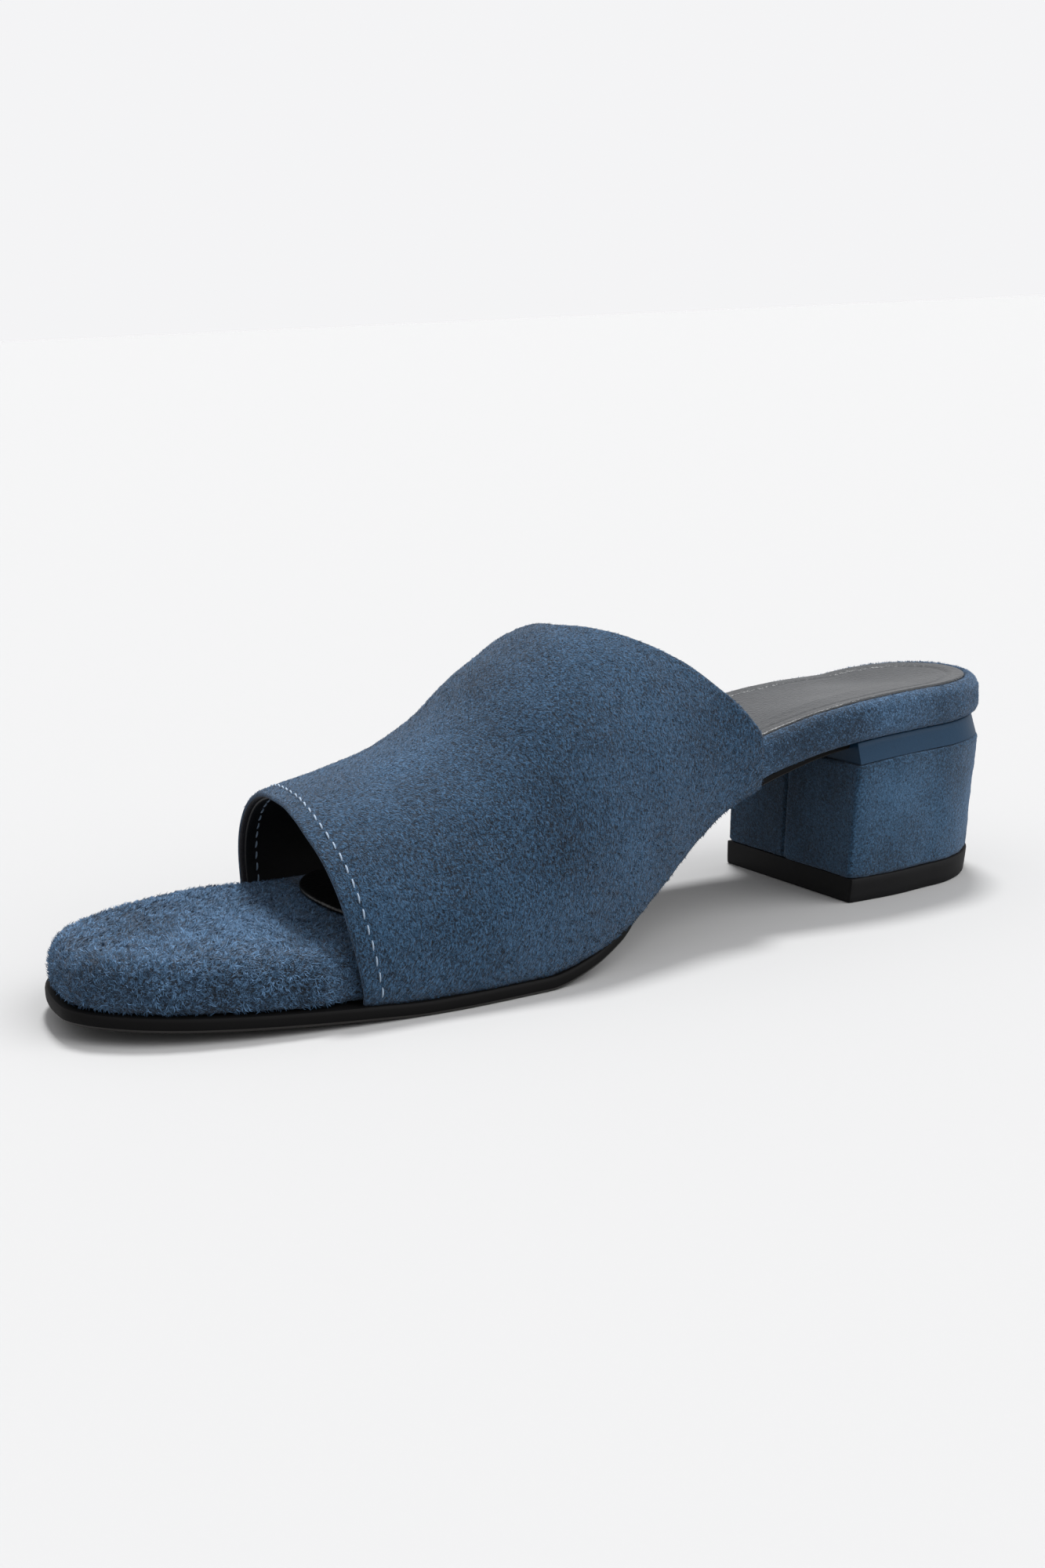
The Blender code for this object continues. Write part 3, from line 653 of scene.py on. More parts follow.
def band_shell(outside, inside, edge_in, rows, columns, nose_steps):
    """Closed shell of the band between two depths under its outer face, with rounded free edges."""
    rounds = np.linspace(0.0, 1.0, rows)
    back = through(EDGES["round"], EDGES["back"], rounds) + edge_in
    front = through(EDGES["round"], EDGES["front"], rounds) - edge_in
    half = (inside - outside) / 2
    r, t = np.meshgrid(rounds, np.linspace(0, 1, columns), indexing="ij")
    # Columns are a little closer together at both edges.
    t = t - 0.06 * np.sin(2 * math.pi * t) / (2 * math.pi) * 4
    y = (back + half)[:, None] + (front - back - 2 * half)[:, None] * t
    face = band_surface(r, y)
    n = grid_normals(face)
    outer = face - n * outside
    inner = face - n * inside

    def nose(column, sign):
        centre = (outer[:, column] + inner[:, column]) / 2
        edge = unit(np.gradient(centre, axis=0))
        along = unit(np.gradient(face, axis=1)[:, column]) * sign
        along = unit(along - (along * edge).sum(-1)[:, None] * edge)
        phi = np.linspace(0, math.pi, nose_steps + 2)[1:-1]
        return (centre[:, None] + half * (np.cos(phi)[None, :, None] * n[:, column][:, None]
                                          + np.sin(phi)[None, :, None] * along[:, None]))

    front_nose, back_nose = nose(-1, 1.0), nose(0, -1.0)
    skin = np.concatenate([outer, front_nose, inner[:, ::-1], back_nose[:, ::-1]], 1)
    return skin, face, n


def make_upper():
    nose_steps = 7
    skin, face, n = band_shell(0.0, SUEDE, 0.0, ROUND + 1, ALONG + 1, nose_steps)
    rows, columns = skin.shape[:2]
    p = skin.reshape(-1, 3)
    # Nap relief on the outer face.
    outer_n = np.zeros_like(skin)
    outer_n[:, :ALONG + 1] = n
    fuzz = 0.10 * noise(p, 1.5, 21) + 0.08 * noise(p, 0.8, 22)
    p = p + outer_n.reshape(-1, 3) * fuzz[:, None]
    faces = grid_faces(rows, columns, wrap_columns=True)
    column = np.tile(np.arange(columns), rows - 1)
    material = np.where((column < ALONG + 5) | (column > columns - 3), 0, 1)
    m = ALONG + 1
    caps = []
    for row, flip in ((0, False), (rows - 1, True)):
        s = row * columns
        mirror = [m + nose_steps + m - 1 - k for k in range(m)]
        for k in range(m - 1):
            q = [s + k, s + mirror[k], s + mirror[k + 1], s + k + 1]
            caps.append(q[::-1] if flip else q)
        front = [s + m - 1, *[s + m + k for k in range(nose_steps)], s + m + nose_steps]
        rear = [s + 2 * m + nose_steps - 1, *[s + 2 * m + nose_steps + k for k in range(nose_steps)], s]
        caps += [front[::-1] if not flip else front, rear[::-1] if not flip else rear]
    u = np.concatenate([np.zeros((1, m)), np.cumsum(np.linalg.norm(np.diff(face, axis=0), axis=-1), 0)], 0)
    u = u - u[rows // 2]
    v = np.concatenate([np.zeros((rows, 1)), np.cumsum(np.linalg.norm(np.diff(face, axis=1), axis=-1), 1)], 1)
    uv = np.zeros((rows, columns, 2))
    uv[:, :m, 0], uv[:, :m, 1] = u, v
    uv[:, m:m + nose_steps, :] = uv[:, m - 1:m, :] + np.stack([np.zeros(nose_steps), np.arange(1, nose_steps + 1) * 0.4], -1)
    uv[:, m + nose_steps:2 * m + nose_steps, :] = uv[:, :m][:, ::-1]
    uv[:, 2 * m + nose_steps:, :] = uv[:, :1, :] - 0.4
    obj = make("upper_suede_band", p, [*faces.tolist(), *caps], [upper_suede, upper_edge],
               [*material, *([1] * len(caps))], uv.reshape(-1, 2), {"brush": brushed(p)})
    ride(obj, "upper")

    outer_faces = grid_faces(rows, columns)
    outer_faces = outer_faces[(np.arange(len(outer_faces)) % (columns - 1)) < ALONG + 2]
    rear_faces = grid_faces(rows, columns, wrap_columns=True)
    rear_faces = rear_faces[(np.arange(len(rear_faces)) % columns) > columns - 4]
    tris = triangles(np.concatenate([outer_faces, rear_faces]).tolist())
    if (vertex_normals(p, tris) * outer_n.reshape(-1, 3)).sum() < 0:
        tris = tris[:, ::-1]

    def flow(q):
        return np.tile([0.0, -0.75, -0.66], (len(q), 1)) + 0.35 * np.stack([noise(q, 14, 31), noise(q, 14, 32), noise(q, 14, 33)], -1)

    def keep(q):
        return np.ones(len(q))

    nap("upper_nap_fibres", p, tris, 110000, 5, 0.8, 0.2, 0.45, 0.16, flow, keep, upper_fibre,
        dash=(0.58, 0.31), mix=(0.52, 0.5))

    lining, _, _ = band_shell(SUEDE + 0.02, SUEDE + LINING, LINING_BACK_OFF, 131, 61, 3)
    rows, columns = lining.shape[:2]
    faces = grid_faces(rows, columns, wrap_columns=True)
    caps = []
    for row, flip in ((0, False), (rows - 1, True)):
        s = row * columns
        mirror = [61 + 3 + 60 - k for k in range(61)]
        for k in range(60):
            q = [s + k, s + mirror[k], s + mirror[k + 1], s + k + 1]
            caps.append(q[::-1] if flip else q)
        front = [s + 60, s + 61, s + 62, s + 63, s + 64]
        rear = [s + 124, s + 125, s + 126, s + 127, s]
        caps += [front[::-1] if not flip else front, rear[::-1] if not flip else rear]
    obj = make("upper_lining", lining.reshape(-1, 3), [*faces.tolist(), *caps], [lining_leather])
    ride(obj)
    make_stitches(face, n)


def make_stitches(face, n):
    """Rows of separate stitches beside the front edge: outside on the suede and inside on the lining."""
    lengths = np.concatenate([np.zeros((len(face), 1)), np.cumsum(np.linalg.norm(np.diff(face, axis=1), axis=-1), 1)], 1)
    line, up = [], []
    for i in range(len(face)):
        want = lengths[i, -1] + SUEDE / 2 - STITCH_IN
        line.append([np.interp(want, lengths[i], face[i, :, k]) for k in range(3)])
        up.append([np.interp(want, lengths[i], n[i, :, k]) for k in range(3)])
    line, up = np.array(line), unit(np.array(up))
    travel = np.concatenate([[0], np.cumsum(np.linalg.norm(np.diff(line, axis=0), axis=1))])

    def at(s, table):
        return np.stack([np.interp(s, travel, table[:, k]) for k in range(3)], -1)

    for name, depth, sign in (("front_stitches", 0.0, 1.0), ("lining_stitches", SUEDE + LINING, -1.0)):
        points, faces = [], []
        rng = np.random.default_rng(41 if sign > 0 else 42)
        start = 2.0
        while start + STITCH < travel[-1] - 1.0:
            u = np.linspace(0, 1, 9)
            s = start + STITCH * u
            normal = unit(at(s, up)) * sign
            centre = at(s, line) - at(s, up) * depth
            tangent = unit(np.gradient(centre, axis=0))
            side = unit(np.cross(tangent, normal))
            lift = 0.34 * np.sin(math.pi * u) ** 0.6 - 0.12
            slant = 0.16 * (u - 0.5) * 2
            centre = centre + normal * lift[:, None] + side * slant[:, None]
            radius = THREAD * (0.35 + 0.65 * np.sin(math.pi * u) ** 0.5) * (0.92 + 0.16 * rng.random())
            ring_angle = np.arange(7) * 2 * math.pi / 7
            ring = (centre[:, None] + radius[:, None, None] * (np.cos(ring_angle)[None, :, None] * side[:, None]
                                                             + np.sin(ring_angle)[None, :, None] * normal[:, None]))
            base = len(points)
            points += ring.reshape(-1, 3).tolist()
            faces += grid_faces(9, 7, wrap_columns=True, start=base).tolist()
            faces += [[base + k for k in range(7)][::-1], [base + 56 + k for k in range(7)]]
            start += STITCH_PITCH * (0.97 + 0.06 * rng.random())
        obj = make(name, points, faces, [pale_thread])
        ride(obj)


# ---------------------------------------------------------------- covers over a closed plan loop
def cover(points, faces, loop_start, stations, across, height, upward):
    """Strips that join the two sides of a closed loop with a point at each end."""
    count = stations - 1
    total = 2 * count
    loop = np.array(points[loop_start:loop_start + total])
    rows = [[loop_start]]
    f = np.arange(1, across) / across
    for row in range(1, count):
        left, right = loop_start + row, loop_start + total - row
        a, b = np.array(points[left]), np.array(points[right])
        inner = a + (b - a) * f[:, None]
        inner[:, 2] = height(inner[:, 0], inner[:, 1])
        start = len(points)
        points += inner.tolist()
        rows.append([left, *range(start, start + across - 1), right])
    rows.append([loop_start + count])
    for a, b in zip(rows, rows[1:]):
        if len(a) == 1:
            new = [(a[0], b[k + 1], b[k]) for k in range(len(b) - 1)]
        elif len(b) == 1:
            new = [(a[k], a[k + 1], b[0]) for k in range(len(a) - 1)]
        else:
            new = [(a[k], a[k + 1], b[k + 1], b[k]) for k in range(len(a) - 1)]
        faces += new if upward else [q[::-1] for q in new]
    return loop


def distance_in(x, y, loop):
    """Distance of points to a dense closed loop in plan."""
    out = np.empty(len(x))
    for s in range(0, len(x), 4000):
        d = np.hypot(x[s:s + 4000, None] - loop[None, :, 0], y[s:s + 4000, None] - loop[None, :, 1])
        out[s:s + 4000] = d.min(1)
    return out


def bed_level(x, y):
    """The wrapped footbed's rim level."""
    return footbed_under(y) + footbed_thickness(y) - rim_tilt(x, y)


def bed_top(x, y, away):
    """Top of the wrapped footbed, away mm in from its edge."""
    round_in = np.interp(y, [60, 150, 200], [3.2, 3.2, 6.0])
    fall = 1 - np.sqrt(np.clip(1 - np.clip(1 - away / round_in, 0, 1) ** 2.3, 0, 1))
    drop = np.interp(y, [60, 190, 215], [4.0, 4.6, 6.2]) * fall
    step = np.clip((away - SOCK_IN + 0.5) / 0.7, 0, 1)
    seat = sock_seat(y) * step * step * (3 - 2 * step)
    crown = dish(y) * (1 - (1 - np.clip(away / 26.0, 0, 1)) ** 2)
    plump = np.interp(y, [186, 205, 240], [0.0, 0.5, 0.5]) * (1 - (1 - np.clip(away / 14.0, 0, 1)) ** 2)
    return bed_level(x, y) - drop - seat + crown + plump


def make_footbed():
    stations = side_stations(0.0, LENGTH, 250)
    outline = plan_loop(stations)
    base = moved_in(outline, tuck(outline))
    points, faces = [], []
    total = len(base)
    rings = []
    # Side, from the turned-under base up to the widest line, then over the rim.
    low = np.linspace(0, 1, 7)
    for k in low:
        inset = 2.6 * (1 - math.sin(k * math.pi / 2)) + (2.4 if k == 0 else 0.0)
        rings.append(("side", inset, 0.34 * (1 - math.cos(k * math.pi / 2))))
    for inset in (0.02, 0.12, 0.3, 0.6, 1.0, 1.5, 2.1, 2.8, 3.3, 3.8, 4.4, 5.2, 6.2, 7.4, 8.6, 9.8):
        rings.append(("top", inset, None))
    for kind, inset, height in rings:
        xy = eased_in(base, inset)
        if kind == "side":
            under = footbed_under(xy[:, 1])
            full = bed_level(xy[:, 0], xy[:, 1]) - under
            top_of_side = bed_top(xy[:, 0], xy[:, 1], np.zeros(total)) - under
            z = under + height / 0.34 * 0.5 * top_of_side if height > 0 else under
        else:
            z = bed_top(xy[:, 0], xy[:, 1], np.full(total, inset))
        points += np.column_stack([xy, z]).tolist()
    count = len(rings)
    faces += [q[::-1] for q in grid_faces(count, total, wrap_columns=True).tolist()]
    height = lambda x, y: bed_top(x, y, distance_in(x, y, base))
    cover(points, faces, (count - 1) * total, len(stations), 96, height, True)
    cover(points, faces, 0, len(stations), 12, lambda x, y: footbed_under(y), False)
    p = np.array(points)
    tris = triangles(faces)
    n = vertex_normals(p, tris)
    if n[(count - 1) * total + total // 4, 2] < 0:
        faces = [f[::-1] for f in faces]
        tris = tris[:, ::-1]
        n = -n
    p[:, :3] += n * (0.22 * noise(p, 11.0, 51) * np.clip((p[:, 1] - 150) / 50, 0.25, 1))[:, None]
    rough = np.clip((p[:, 1] - 178) / 12, 0.3, 1)
    p = p + n * ((0.16 * noise(p, 1.7, 52) + 0.13 * noise(p, 0.9, 53)) * rough)[:, None]
    seat = [int(p[f[0], 1] < 135.0) for f in faces]
    obj = make("footbed_suede_wrap", p, faces, [bed_suede, seat_suede], seat, floats={"brush": brushed(p)})
    ride(obj, "footbed")

    level = bed_level(p[:, 0], p[:, 1])

    def keep(q):
        z = footbed_under(q[:, 1])
        side = np.clip((q[:, 2] - z - 0.3) / 0.6, 0, 1)
        away = distance_in(q[:, 0], q[:, 1], base)
        covered = (q[:, 1] < 180) & (away > SOCK_IN - 0.3)
        return np.where(covered, 0.0, 1.0) * side

    def keep_toe(q):
        return keep(q) * (q[:, 1] > 176)

    def keep_seat(q):
        return keep(q) * (q[:, 1] < 92)

    def flow(q):
        return np.stack([0.4 + noise(q, 9, 61), -0.6 + noise(q, 9, 62), 0.2 + noise(q, 9, 63)], -1)

    nap("footbed_nap_fibres", p, tris, 40000, 6, 1.3, 0.2, 0.75, 0.6, flow, keep_toe, bed_fibre, curl=True,
        dash=(0.7, 0.45), mix=(0.32, 0.45), tone=0.6, short=lambda q: np.interp(q[:, 1], [176, 190], [0.6, 1.0]))
    nap("seat_nap_fibres", p, tris, 42000, 8, 0.62, 0.17, 0.5, 0.5, flow, keep_seat, bed_fibre,
        dash=(0.5, 0.35), mix=(0.17, 0.36), tone=0.56)


def make_sock():
    """The sock, cupped at the seat, with its embossed line. It ends in a round front under the band."""
    stations = side_stations(0.0, LENGTH, 300)
    outline = plan_loop(stations)
    base = moved_in(moved_in(outline, tuck(outline)), SOCK_IN + 0.15)
    count = len(stations)
    medial = base[:count]
    lateral = np.vstack([base[:1], base[count:][::-1], base[count - 1:count]])
    rows = side_stations(float(base[0, 1]), SOCK_FRONT, 190)
    round_off = 26.0
    shrink = np.sqrt(np.clip(1 - (np.clip(rows - (SOCK_FRONT - round_off), 0, None) / round_off) ** 2.6, 0, 1))
    left = np.interp(rows, medial[:, 1], medial[:, 0])
    right = np.interp(rows, lateral[:, 1], lateral[:, 0])
    middle = (left + right) / 2
    left, right = middle + (left - middle) * shrink, middle + (right - middle) * shrink
    edge = np.vstack([np.column_stack([left, rows]), np.column_stack([right, rows])[1:-1][::-1]])

    def bed(x, y):
        lo, hi = half_plan("medial", y), half_plan("lateral", y)
        f = np.clip((x - lo - SOCK_IN) / np.maximum(hi - lo - 2 * SOCK_IN, 1.0), 0.0, 1.0)
        return bed_level(x, y) - sock_seat(y) + dish(y) * np.sin(math.pi * f) ** 0.8

    def top(x, y, away):
        cup = -0.35 * (1 - np.exp(-(away / 7.0) ** 2)) * np.interp(y, [0, 110, 150], [1.0, 1.0, 0.0])
        line = -0.24 * np.exp(-((away - EMBOSS_IN) / 0.75) ** 2) * np.interp(y, [128, 150], [1.0, 0.0])
        edge_round = 0.55 * np.clip(1 - away / 0.7, 0, 1) ** 2
        q = np.stack([np.asarray(x, float), np.asarray(y, float) * 0.7, 0.0 * np.asarray(y, float)], -1)
        waves = 0.34 * noise(q, 12.0, 58) * np.clip((away - 1.0) / 7.0, 0, 1) * np.interp(y, [130, 150], [1.0, 0.0])
        return bed(x, y) + 1.75 + cup + line + waves - edge_round

    points, faces = [], []
    total = len(edge)
    insets = [0.0, 0.08, 0.22, 0.45, 0.8, 1.4, 2.1, 2.7, 3.2, 3.6, 4.0, 4.4, 4.8, 5.2, 5.6, 6.1, 6.8, 7.7, 8.6, 9.6]
    xy = moved_in(edge, 0.5)
    points += np.column_stack([xy, bed(xy[:, 0], xy[:, 1]) + 0.55]).tolist()
    xy = moved_in(edge, 0.0)
    points += np.column_stack([xy, bed(xy[:, 0], xy[:, 1]) + 0.75]).tolist()
    for inset in insets[1:]:
        xy = eased_in(edge, inset)
        points += np.column_stack([xy, top(xy[:, 0], xy[:, 1], np.full(total, inset))]).tolist()
    rings = 1 + len(insets)
    faces += [q[::-1] for q in grid_faces(rings, total, wrap_columns=True).tolist()]
    height = lambda x, y: top(x, y, distance_in(x, y, edge))
    cover(points, faces, (rings - 1) * total, len(rows), 44, height, True)
    cover(points, faces, 0, len(rows), 10, lambda x, y: bed(x, y) + 0.55, False)
    p = np.array(points)
    n = vertex_normals(p, triangles(faces))
    if n[(rings - 1) * total + total // 4, 2] < 0:
        faces = [f[::-1] for f in faces]
    # The front attribute darkens the sock from y 118 forward, where it runs under the band: painted shade.
    obj = make("insole_sock_leather", p, faces, [sock_leather],
               floats={"front": np.interp(p[:, 1], [118, 150], [0.0, 1.0])})
    ride(obj, "insole_sock")


# ---------------------------------------------------------------- the outsole
def sole_lip(y):
    return np.interp(y, [56.0, 82.0, 118.0, 129.0, 142.0, 175.0], [-5.0, -4.4, -4.0, -0.6, 1.1, SOLE_LIP])


def make_outsole():
    start = BREAST_Y - BREAST_LEAN + 0.1
    u = np.arange(201) / 200
    stations = start + (LENGTH - start) * np.sin(u * math.pi / 2)
    loop = plan_loop(stations)
    n = normals2(loop)
    count = len(stations)
    n[0], n[-1] = (-1.0, 0.0), (1.0, 0.0)
    lip = sole_lip(loop[:, 1])
    # Profile rows marked 1 are the lower chamfer, which takes the lighter edge material: a painted highlight.
    profile = [(7.0, 0.0, 0), (0.55, 0.0, 0), (0.38, 0.03, 1), (0.16, 0.13, 1), (0.05, 0.22, 0), (0.0, 0.4, 0),
               (0.0, 0.75, 0), (0.12, 0.9, 0), (0.45, 1.0, 0), (7.0, 1.0, 0)]
    points, faces, material = [], [], []
    for inset, height, _ in profile:
        xy = loop + n * (lip - inset)[:, None]
        xy[[0, -1], 1] = start
        yy = np.minimum(xy[:, 1], LENGTH)
        z = sole_under(yy) + height * (sole_thickness(yy) + 0.2)
        points += np.column_stack([xy, z]).tolist()
    total = len(loop)
    rings = len(profile)
    faces += [q[::-1] for q in grid_faces(rings, total).tolist()]
    material += [profile[k // (total - 1)][2] for k in range((rings - 1) * (total - 1))]
    across = 10
    f = np.arange(1, across) / across
    ends = {}
    for level, ring_start, top in (("low", 0, False), ("high", (rings - 1) * total, True)):
        rows = []
        for row in range(count - 1):
            left, right = ring_start + row, ring_start + total - 1 - row
            a, b = np.array(points[left]), np.array(points[right])
            inner = a + (b - a) * f[:, None]
            s = len(points)
            points += inner.tolist()
            rows.append([left, *range(s, s + across - 1), right])
        rows.append([ring_start + count - 1])
        for a, b in zip(rows, rows[1:]):
            if len(b) == 1:
                new = [(a[k], a[k + 1], b[0]) for k in range(len(a) - 1)]
            else:
                new = [(a[k], a[k + 1], b[k + 1], b[k]) for k in range(len(a) - 1)]
            faces += new if top else [q[::-1] for q in new]
            material += [0] * len(new)
        ends[level] = rows[0]
    left = [k * total for k in range(rings)]
    right = [k * total + total - 1 for k in range(rings)]
    low, high = ends["low"], ends["high"]
    for k in range(1, across - 1):
        faces.append((low[k], low[k + 1], high[k + 1], high[k]))
        material.append(0)
    faces.append((*left[::-1], low[1], high[1]))
    faces.append((low[-2], *right, high[-2]))
    material += [0, 0]
    p = np.array(points)
    obj = make("outsole_sheet", p, faces, [sole_rubber, sole_edge_highlight], material, sharp=40)
    ride(obj, "outsole")


# ---------------------------------------------------------------- the heel
ARC, FRONT = 190, 84


def heel_outline(inset, breast, slant, soften):
    """D shape from the medial breast corner round the back to the lateral corner, then along the breast."""
    u = np.arange(121) / 120
    y = breast * (1 - np.cos(math.pi / 2 * u))
    medial = np.column_stack([half_plan("medial", y), y])
    lateral = np.column_stack([half_plan("lateral", y), y])
    arc = np.vstack([medial[::-1], lateral[1:]])
    t = np.gradient(arc, axis=0)
    t /= np.linalg.norm(t, axis=1)[:, None]
    out = np.column_stack([t[:, 1], -t[:, 0]])
    out *= np.sign((out * (arc - [0, breast / 2])).sum(1))[:, None]
    arc = arc - out * inset
    arc[[0, -1], 1] = breast
    arc[:, 1] += slant * (1 - arc[:, 1] / breast)
    travel = np.concatenate([[0], np.cumsum(np.linalg.norm(np.diff(arc, axis=0), axis=1))])
    s = np.linspace(0, travel[-1], ARC + 1)
    arc = np.column_stack([np.interp(s, travel, arc[:, k]) for k in range(2)])
    f = np.linspace(0, 1, FRONT + 1)[1:-1, None]
    loop = np.vstack([arc, arc[-1] + (arc[0] - arc[-1]) * f])
    reach = int(math.ceil(3 * soften / 0.6)) + 1
    k = np.arange(-reach, reach + 1)
    w = np.exp(-(k * 0.66 / soften) ** 2 / 2)
    w /= w.sum()
    return sum(wi * np.roll(loop, ki, axis=0) for ki, wi in zip(k, w))


def lean_at(z):
    return BREAST_Y - BREAST_LEAN * min(max(z / 34.0, 0.0), 1.0)


def rand_top(y):
    return footbed_under(y) - 0.15


def rand_base(y):
    return footbed_under(y) - GAP - RAND


def heel_level(share, extra, soften):
    inset = BLOCK_IN_BASE + (BLOCK_IN_TOP - BLOCK_IN_BASE) * share + extra
    return heel_outline(inset, lean_at(34.0 * share) - max(extra, 0.0), BACK_SLANT * (1 - share), soften)


def stacked(name, levels, materials, move=None, sharp=None, floats=False):
    """Closed solid through D-shaped levels: rows of (outline, heights)."""
    points = []
    for xy, z in levels:
        points += np.column_stack([xy, z]).tolist()
    total = len(levels[0][0])
    rows = len(levels)
    faces = grid_faces(rows, total, wrap_columns=True).tolist()
    p = np.array(points)
    low, high = len(p), len(p) + 1
    p = np.vstack([p, p[:total].mean(0), p[-total:].mean(0)])
    faces += [(k, low, (k + 1) % total) for k in range(total)]
    top = (rows - 1) * total
    faces += [(top + k, top + (k + 1) % total, high) for k in range(total)]
    tris = triangles(faces)
    n = vertex_normals(p, tris)
    if n[rows // 2 * total + ARC // 2, 1] > 0:
        faces = [f[::-1] for f in faces]
        tris = tris[:, ::-1]
        n = -n
    if move is not None:
        p = p + n * move(p, n)[:, None]
    obj = make(name, p, faces, materials, floats={"brush": brushed(p)} if floats else None, sharp=sharp)
    return obj, p, tris, n


def make_heel():
    base = TOP_PIECE + 0.05

    def cover_folds(p, n):
        """The cover's soft unevenness, the seam on the breast and its overlapping nearer half."""
        breast = np.clip((n[:, 1] - 0.6) / 0.3, 0, 1)
        side = np.clip(-n[:, 0], 0, 1)
        seam = -0.9 * np.exp(-((p[:, 0] - SEAM_X) / 0.6) ** 2) + 0.7 / (1 + np.exp((p[:, 0] - SEAM_X) / 0.25))
        soft = 0.22 * noise(p, 10.0, 71) + 0.1 * noise(p, 4.0, 72)
        pull = -0.3 * np.exp(-(from_line(p, (-27, 46, 33), (-25, 22, 12)) / 3.5) ** 2)
        pull = pull + 0.25 * np.exp(-(from_line(p, (-27, 50, 28), (-25, 50, 9)) / 3.0) ** 2)
        nap_relief = 0.06 * noise(p, 1.2, 73) + 0.05 * noise(p, 0.7, 74)
        return soft + seam * breast + pull * side + nap_relief

    levels = [(heel_level(0.18, 1.0, 1.3), None, base), (heel_level(0.18, 0.35, 1.1), None, base + 0.1),
              (heel_level(0.19, 0.0, 0.9), None, base + 0.9)]
    rows = []
    for outline, _, z in levels:
        rows.append((outline, np.full(len(outline), z)))
    steps = 44
    for k in range(1, steps + 1):
        f = k / steps
        outline = heel_level(0.19 + 0.81 * f, 0.0, 0.9)
        top = rand_base(outline[:, 1]) - 0.55
        rows.append((outline, (base + 0.9) + (top - base - 0.9) * f))
    for extra, drop in ((0.35, 0.2), (1.1, 0.08)):
        outline = heel_level(1.0, extra, 1.0)
        rows.append((outline, rand_base(outline[:, 1]) - drop))
    obj, p, tris, n = stacked("heel_block_cover", rows, [heel_suede], cover_folds, floats=True)
    ride(obj, "heel_block")

    def keep(q):
        return np.where((q[:, 2] < base + 0.3) | (q[:, 2] > rand_base(q[:, 1]) - 0.35), 0.0, 1.0)

    def flow(q):
        return np.stack([0.5 * noise(q, 9, 81), -0.4 + 0.5 * noise(q, 9, 82), -0.9 + 0.5 * noise(q, 9, 83)], -1)

    nap("heel_nap_fibres", p, tris, 90000, 7, 0.5, 0.15, 0.35, 0.3, flow, keep, heel_fibre, dash=(0.5, 0.35), mix=(0.1, 0.24))

    rand_in_base, rand_in_top = 0.6, 1.9
    rows = []
    for f, extra in ((0.0, 0.7), (0.0, 0.12), (0.03, 0.0), (0.25, 0.02), (0.5, 0.02), (0.75, 0.0), (0.96, 0.0), (1.0, 0.15), (1.0, 1.2)):
        inset = rand_in_base + (rand_in_top - rand_in_base) * f + extra
        outline = heel_outline(inset, lean_at(34.0) - extra, 0.0, 0.28)
        low, high = rand_base(outline[:, 1]), rand_top(outline[:, 1])
        rows.append((outline, low + (high - low) * f + (0.12 if extra == 0.12 and f == 0.0 else 0.0)))
    obj, *_ = stacked("heel_rand_band", rows, [rand_leather], lambda p, n: 0.06 * noise(p, 9.0, 91), sharp=35)
    ride(obj, "heel_rand")

    rows = []
    for z, extra in ((0.0, 0.8), (0.0, 0.25), (0.12, 0.05), (0.35, -0.1), (2.0, -0.25), (4.5, -0.35), (TOP_PIECE - 0.35, -0.38),
                     (TOP_PIECE - 0.08, -0.25), (TOP_PIECE, 0.0), (TOP_PIECE, 1.2)):
        outline = heel_level(z / 34.0, extra, 0.42)
        rows.append((outline, np.full(len(outline), z)))
    obj, *_ = stacked("heel_top_piece", rows, [black_rubber], sharp=35)
    ride(obj, "top_piece")


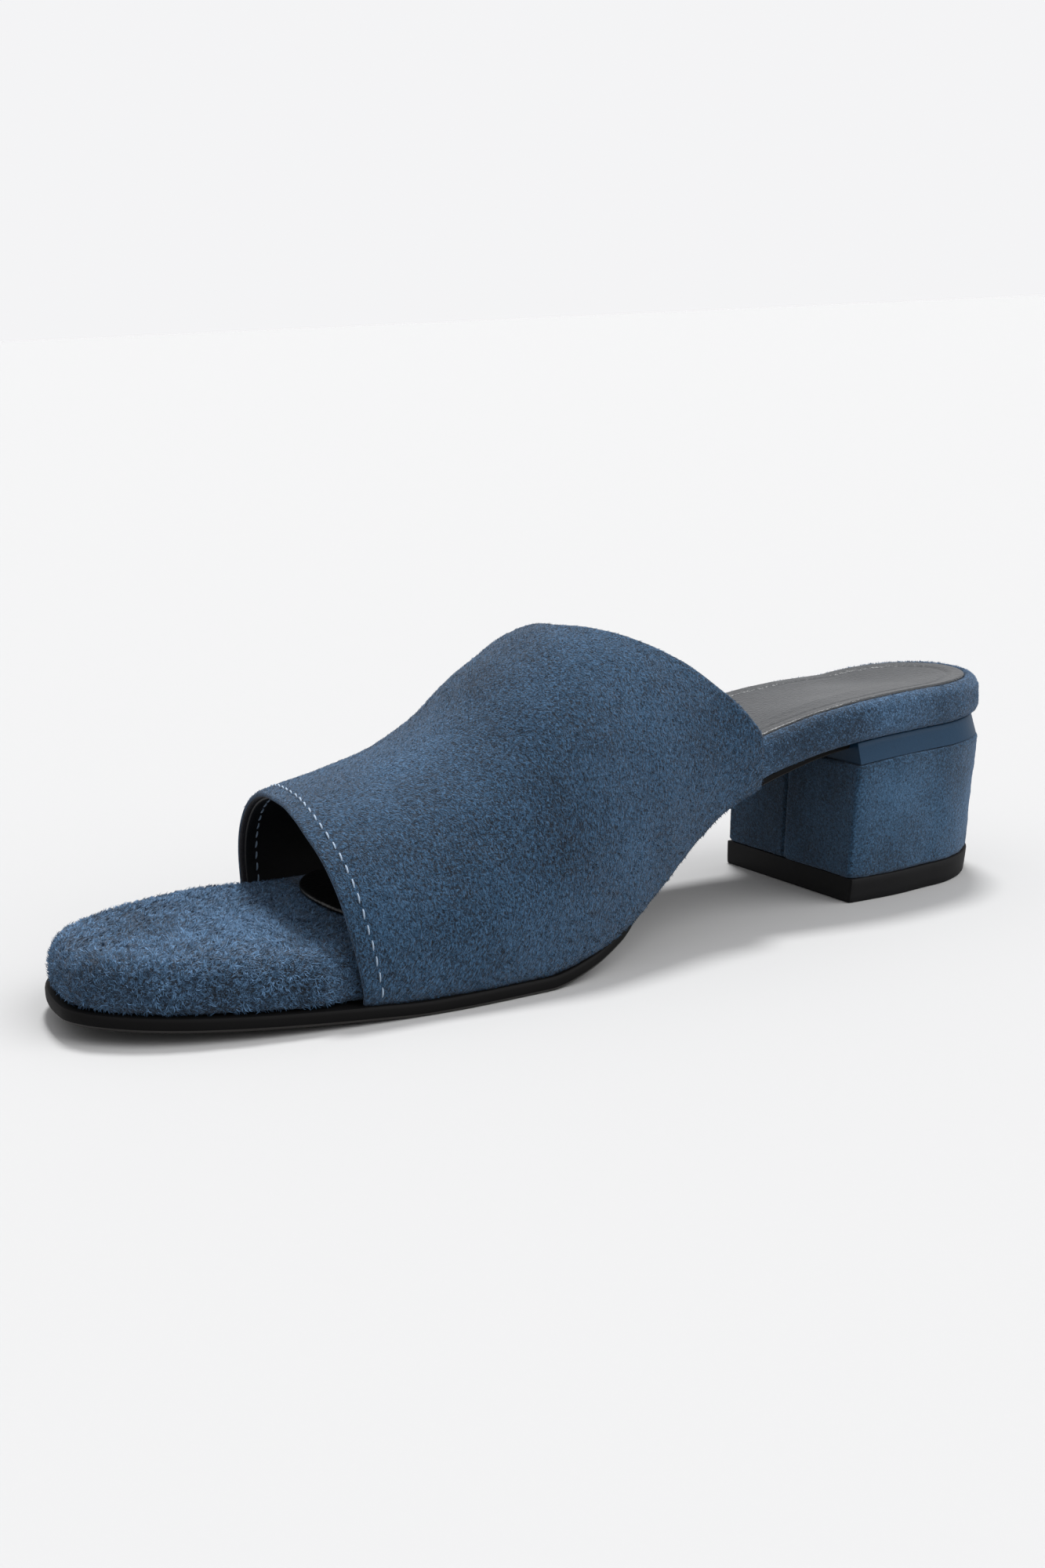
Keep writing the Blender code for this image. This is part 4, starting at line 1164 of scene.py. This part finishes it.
# ---------------------------------------------------------------- stage, light and camera
def make_stage():
    mesh = bpy.data.meshes.new("floor")
    s = 12.0
    z = -0.00004
    mesh.from_pydata([(-s, -s, z), (s, -s, z), (s, s, z), (-s, s, z)], [], [(0, 1, 2, 3)])
    mesh.materials.append(floor_paper("floor_paper", (FLOOR, FLOOR, FLOOR * 1.004)))
    floor = bpy.data.objects.new("floor", mesh)
    bpy.context.scene.collection.objects.link(floor)

    world = bpy.data.worlds.new("studio")
    world.use_nodes = True
    tree = world.node_tree
    background = tree.nodes["Background"]
    where = tree.nodes.new("ShaderNodeTexCoord")
    split = tree.nodes.new("ShaderNodeSeparateXYZ")
    ramp = tree.nodes.new("ShaderNodeMapRange")
    ramp.interpolation_type = "SMOOTHSTEP"
    for key, value in (("From Min", 0.42), ("From Max", 0.85), ("To Min", SKY), ("To Max", OVERHEAD)):
        ramp.inputs[key].default_value = value
    tree.links.new(where.outputs["Generated"], split.inputs["Vector"])
    tree.links.new(split.outputs["Z"], ramp.inputs["Value"])
    tree.links.new(ramp.outputs["Result"], background.inputs["Strength"])
    background.inputs["Color"].default_value = (1.0, 1.0, 1.012, 1.0)
    bpy.context.scene.world = world

    for name, azimuth, elevation, strength, angle in LIGHTS:
        light = bpy.data.lights.new(name, "SUN")
        light.energy = strength
        light.angle = math.radians(angle)
        obj = bpy.data.objects.new(name, light)
        a, e = math.radians(azimuth), math.radians(elevation)
        away = np.array([math.cos(a) * math.cos(e), math.sin(a) * math.cos(e), math.sin(e)])
        z_axis = away
        x_axis = np.cross([0, 0, 1.0], z_axis)
        x_axis /= np.linalg.norm(x_axis)
        y_axis = np.cross(z_axis, x_axis)
        obj.matrix_world = Matrix([[x_axis[k], y_axis[k], z_axis[k], away[k] * 2] for k in range(3)] + [[0, 0, 0, 1]])
        bpy.context.scene.collection.objects.link(obj)
    bpy.context.scene.view_settings.view_transform = "Standard"


def make_camera():
    elevation, heading, roll = (math.radians(v) for v in (12.1647, 29.6562, -2.2245))
    forward = np.array([math.cos(heading) * math.cos(elevation), -math.sin(heading) * math.cos(elevation), -math.sin(elevation)])
    right = np.cross(forward, [0, 0, 1.0])
    right /= np.linalg.norm(right)
    up = np.cross(right, forward)
    turned_right = math.cos(roll) * right + math.sin(roll) * up
    turned_up = -math.sin(roll) * right + math.cos(roll) * up
    place = (np.array([-455.930, 392.310, 149.922]) + SHIFT) * MM
    data = bpy.data.cameras.new("camera")
    data.sensor_fit = "VERTICAL"
    data.sensor_height = 36.0
    data.sensor_width = 36.0
    data.lens = 2899.93 * 36.0 / 2000.0
    data.clip_start = 0.02
    data.clip_end = 60.0
    camera = bpy.data.objects.new("camera", data)
    camera.matrix_world = Matrix([[turned_right[k], turned_up[k], -forward[k], place[k]] for k in range(3)] + [[0, 0, 0, 1]])
    bpy.context.scene.collection.objects.link(camera)
    bpy.context.scene.camera = camera


FLOOR = 0.3
SKY = 0.905
OVERHEAD = 1.15
# name, azimuth and elevation it shines from (degrees, 0 is +X, 90 is +Y), strength, apparent size in degrees
LIGHTS = [
    ("key_from_behind", -35.0, 67.0, 4.4, 12.0),
    ("fill_from_heel", 218.0, 40.0, 3.0, 60.0),
]

make_footbed()
make_sock()
make_upper()
make_outsole()
make_heel()
make_stage()
make_camera()
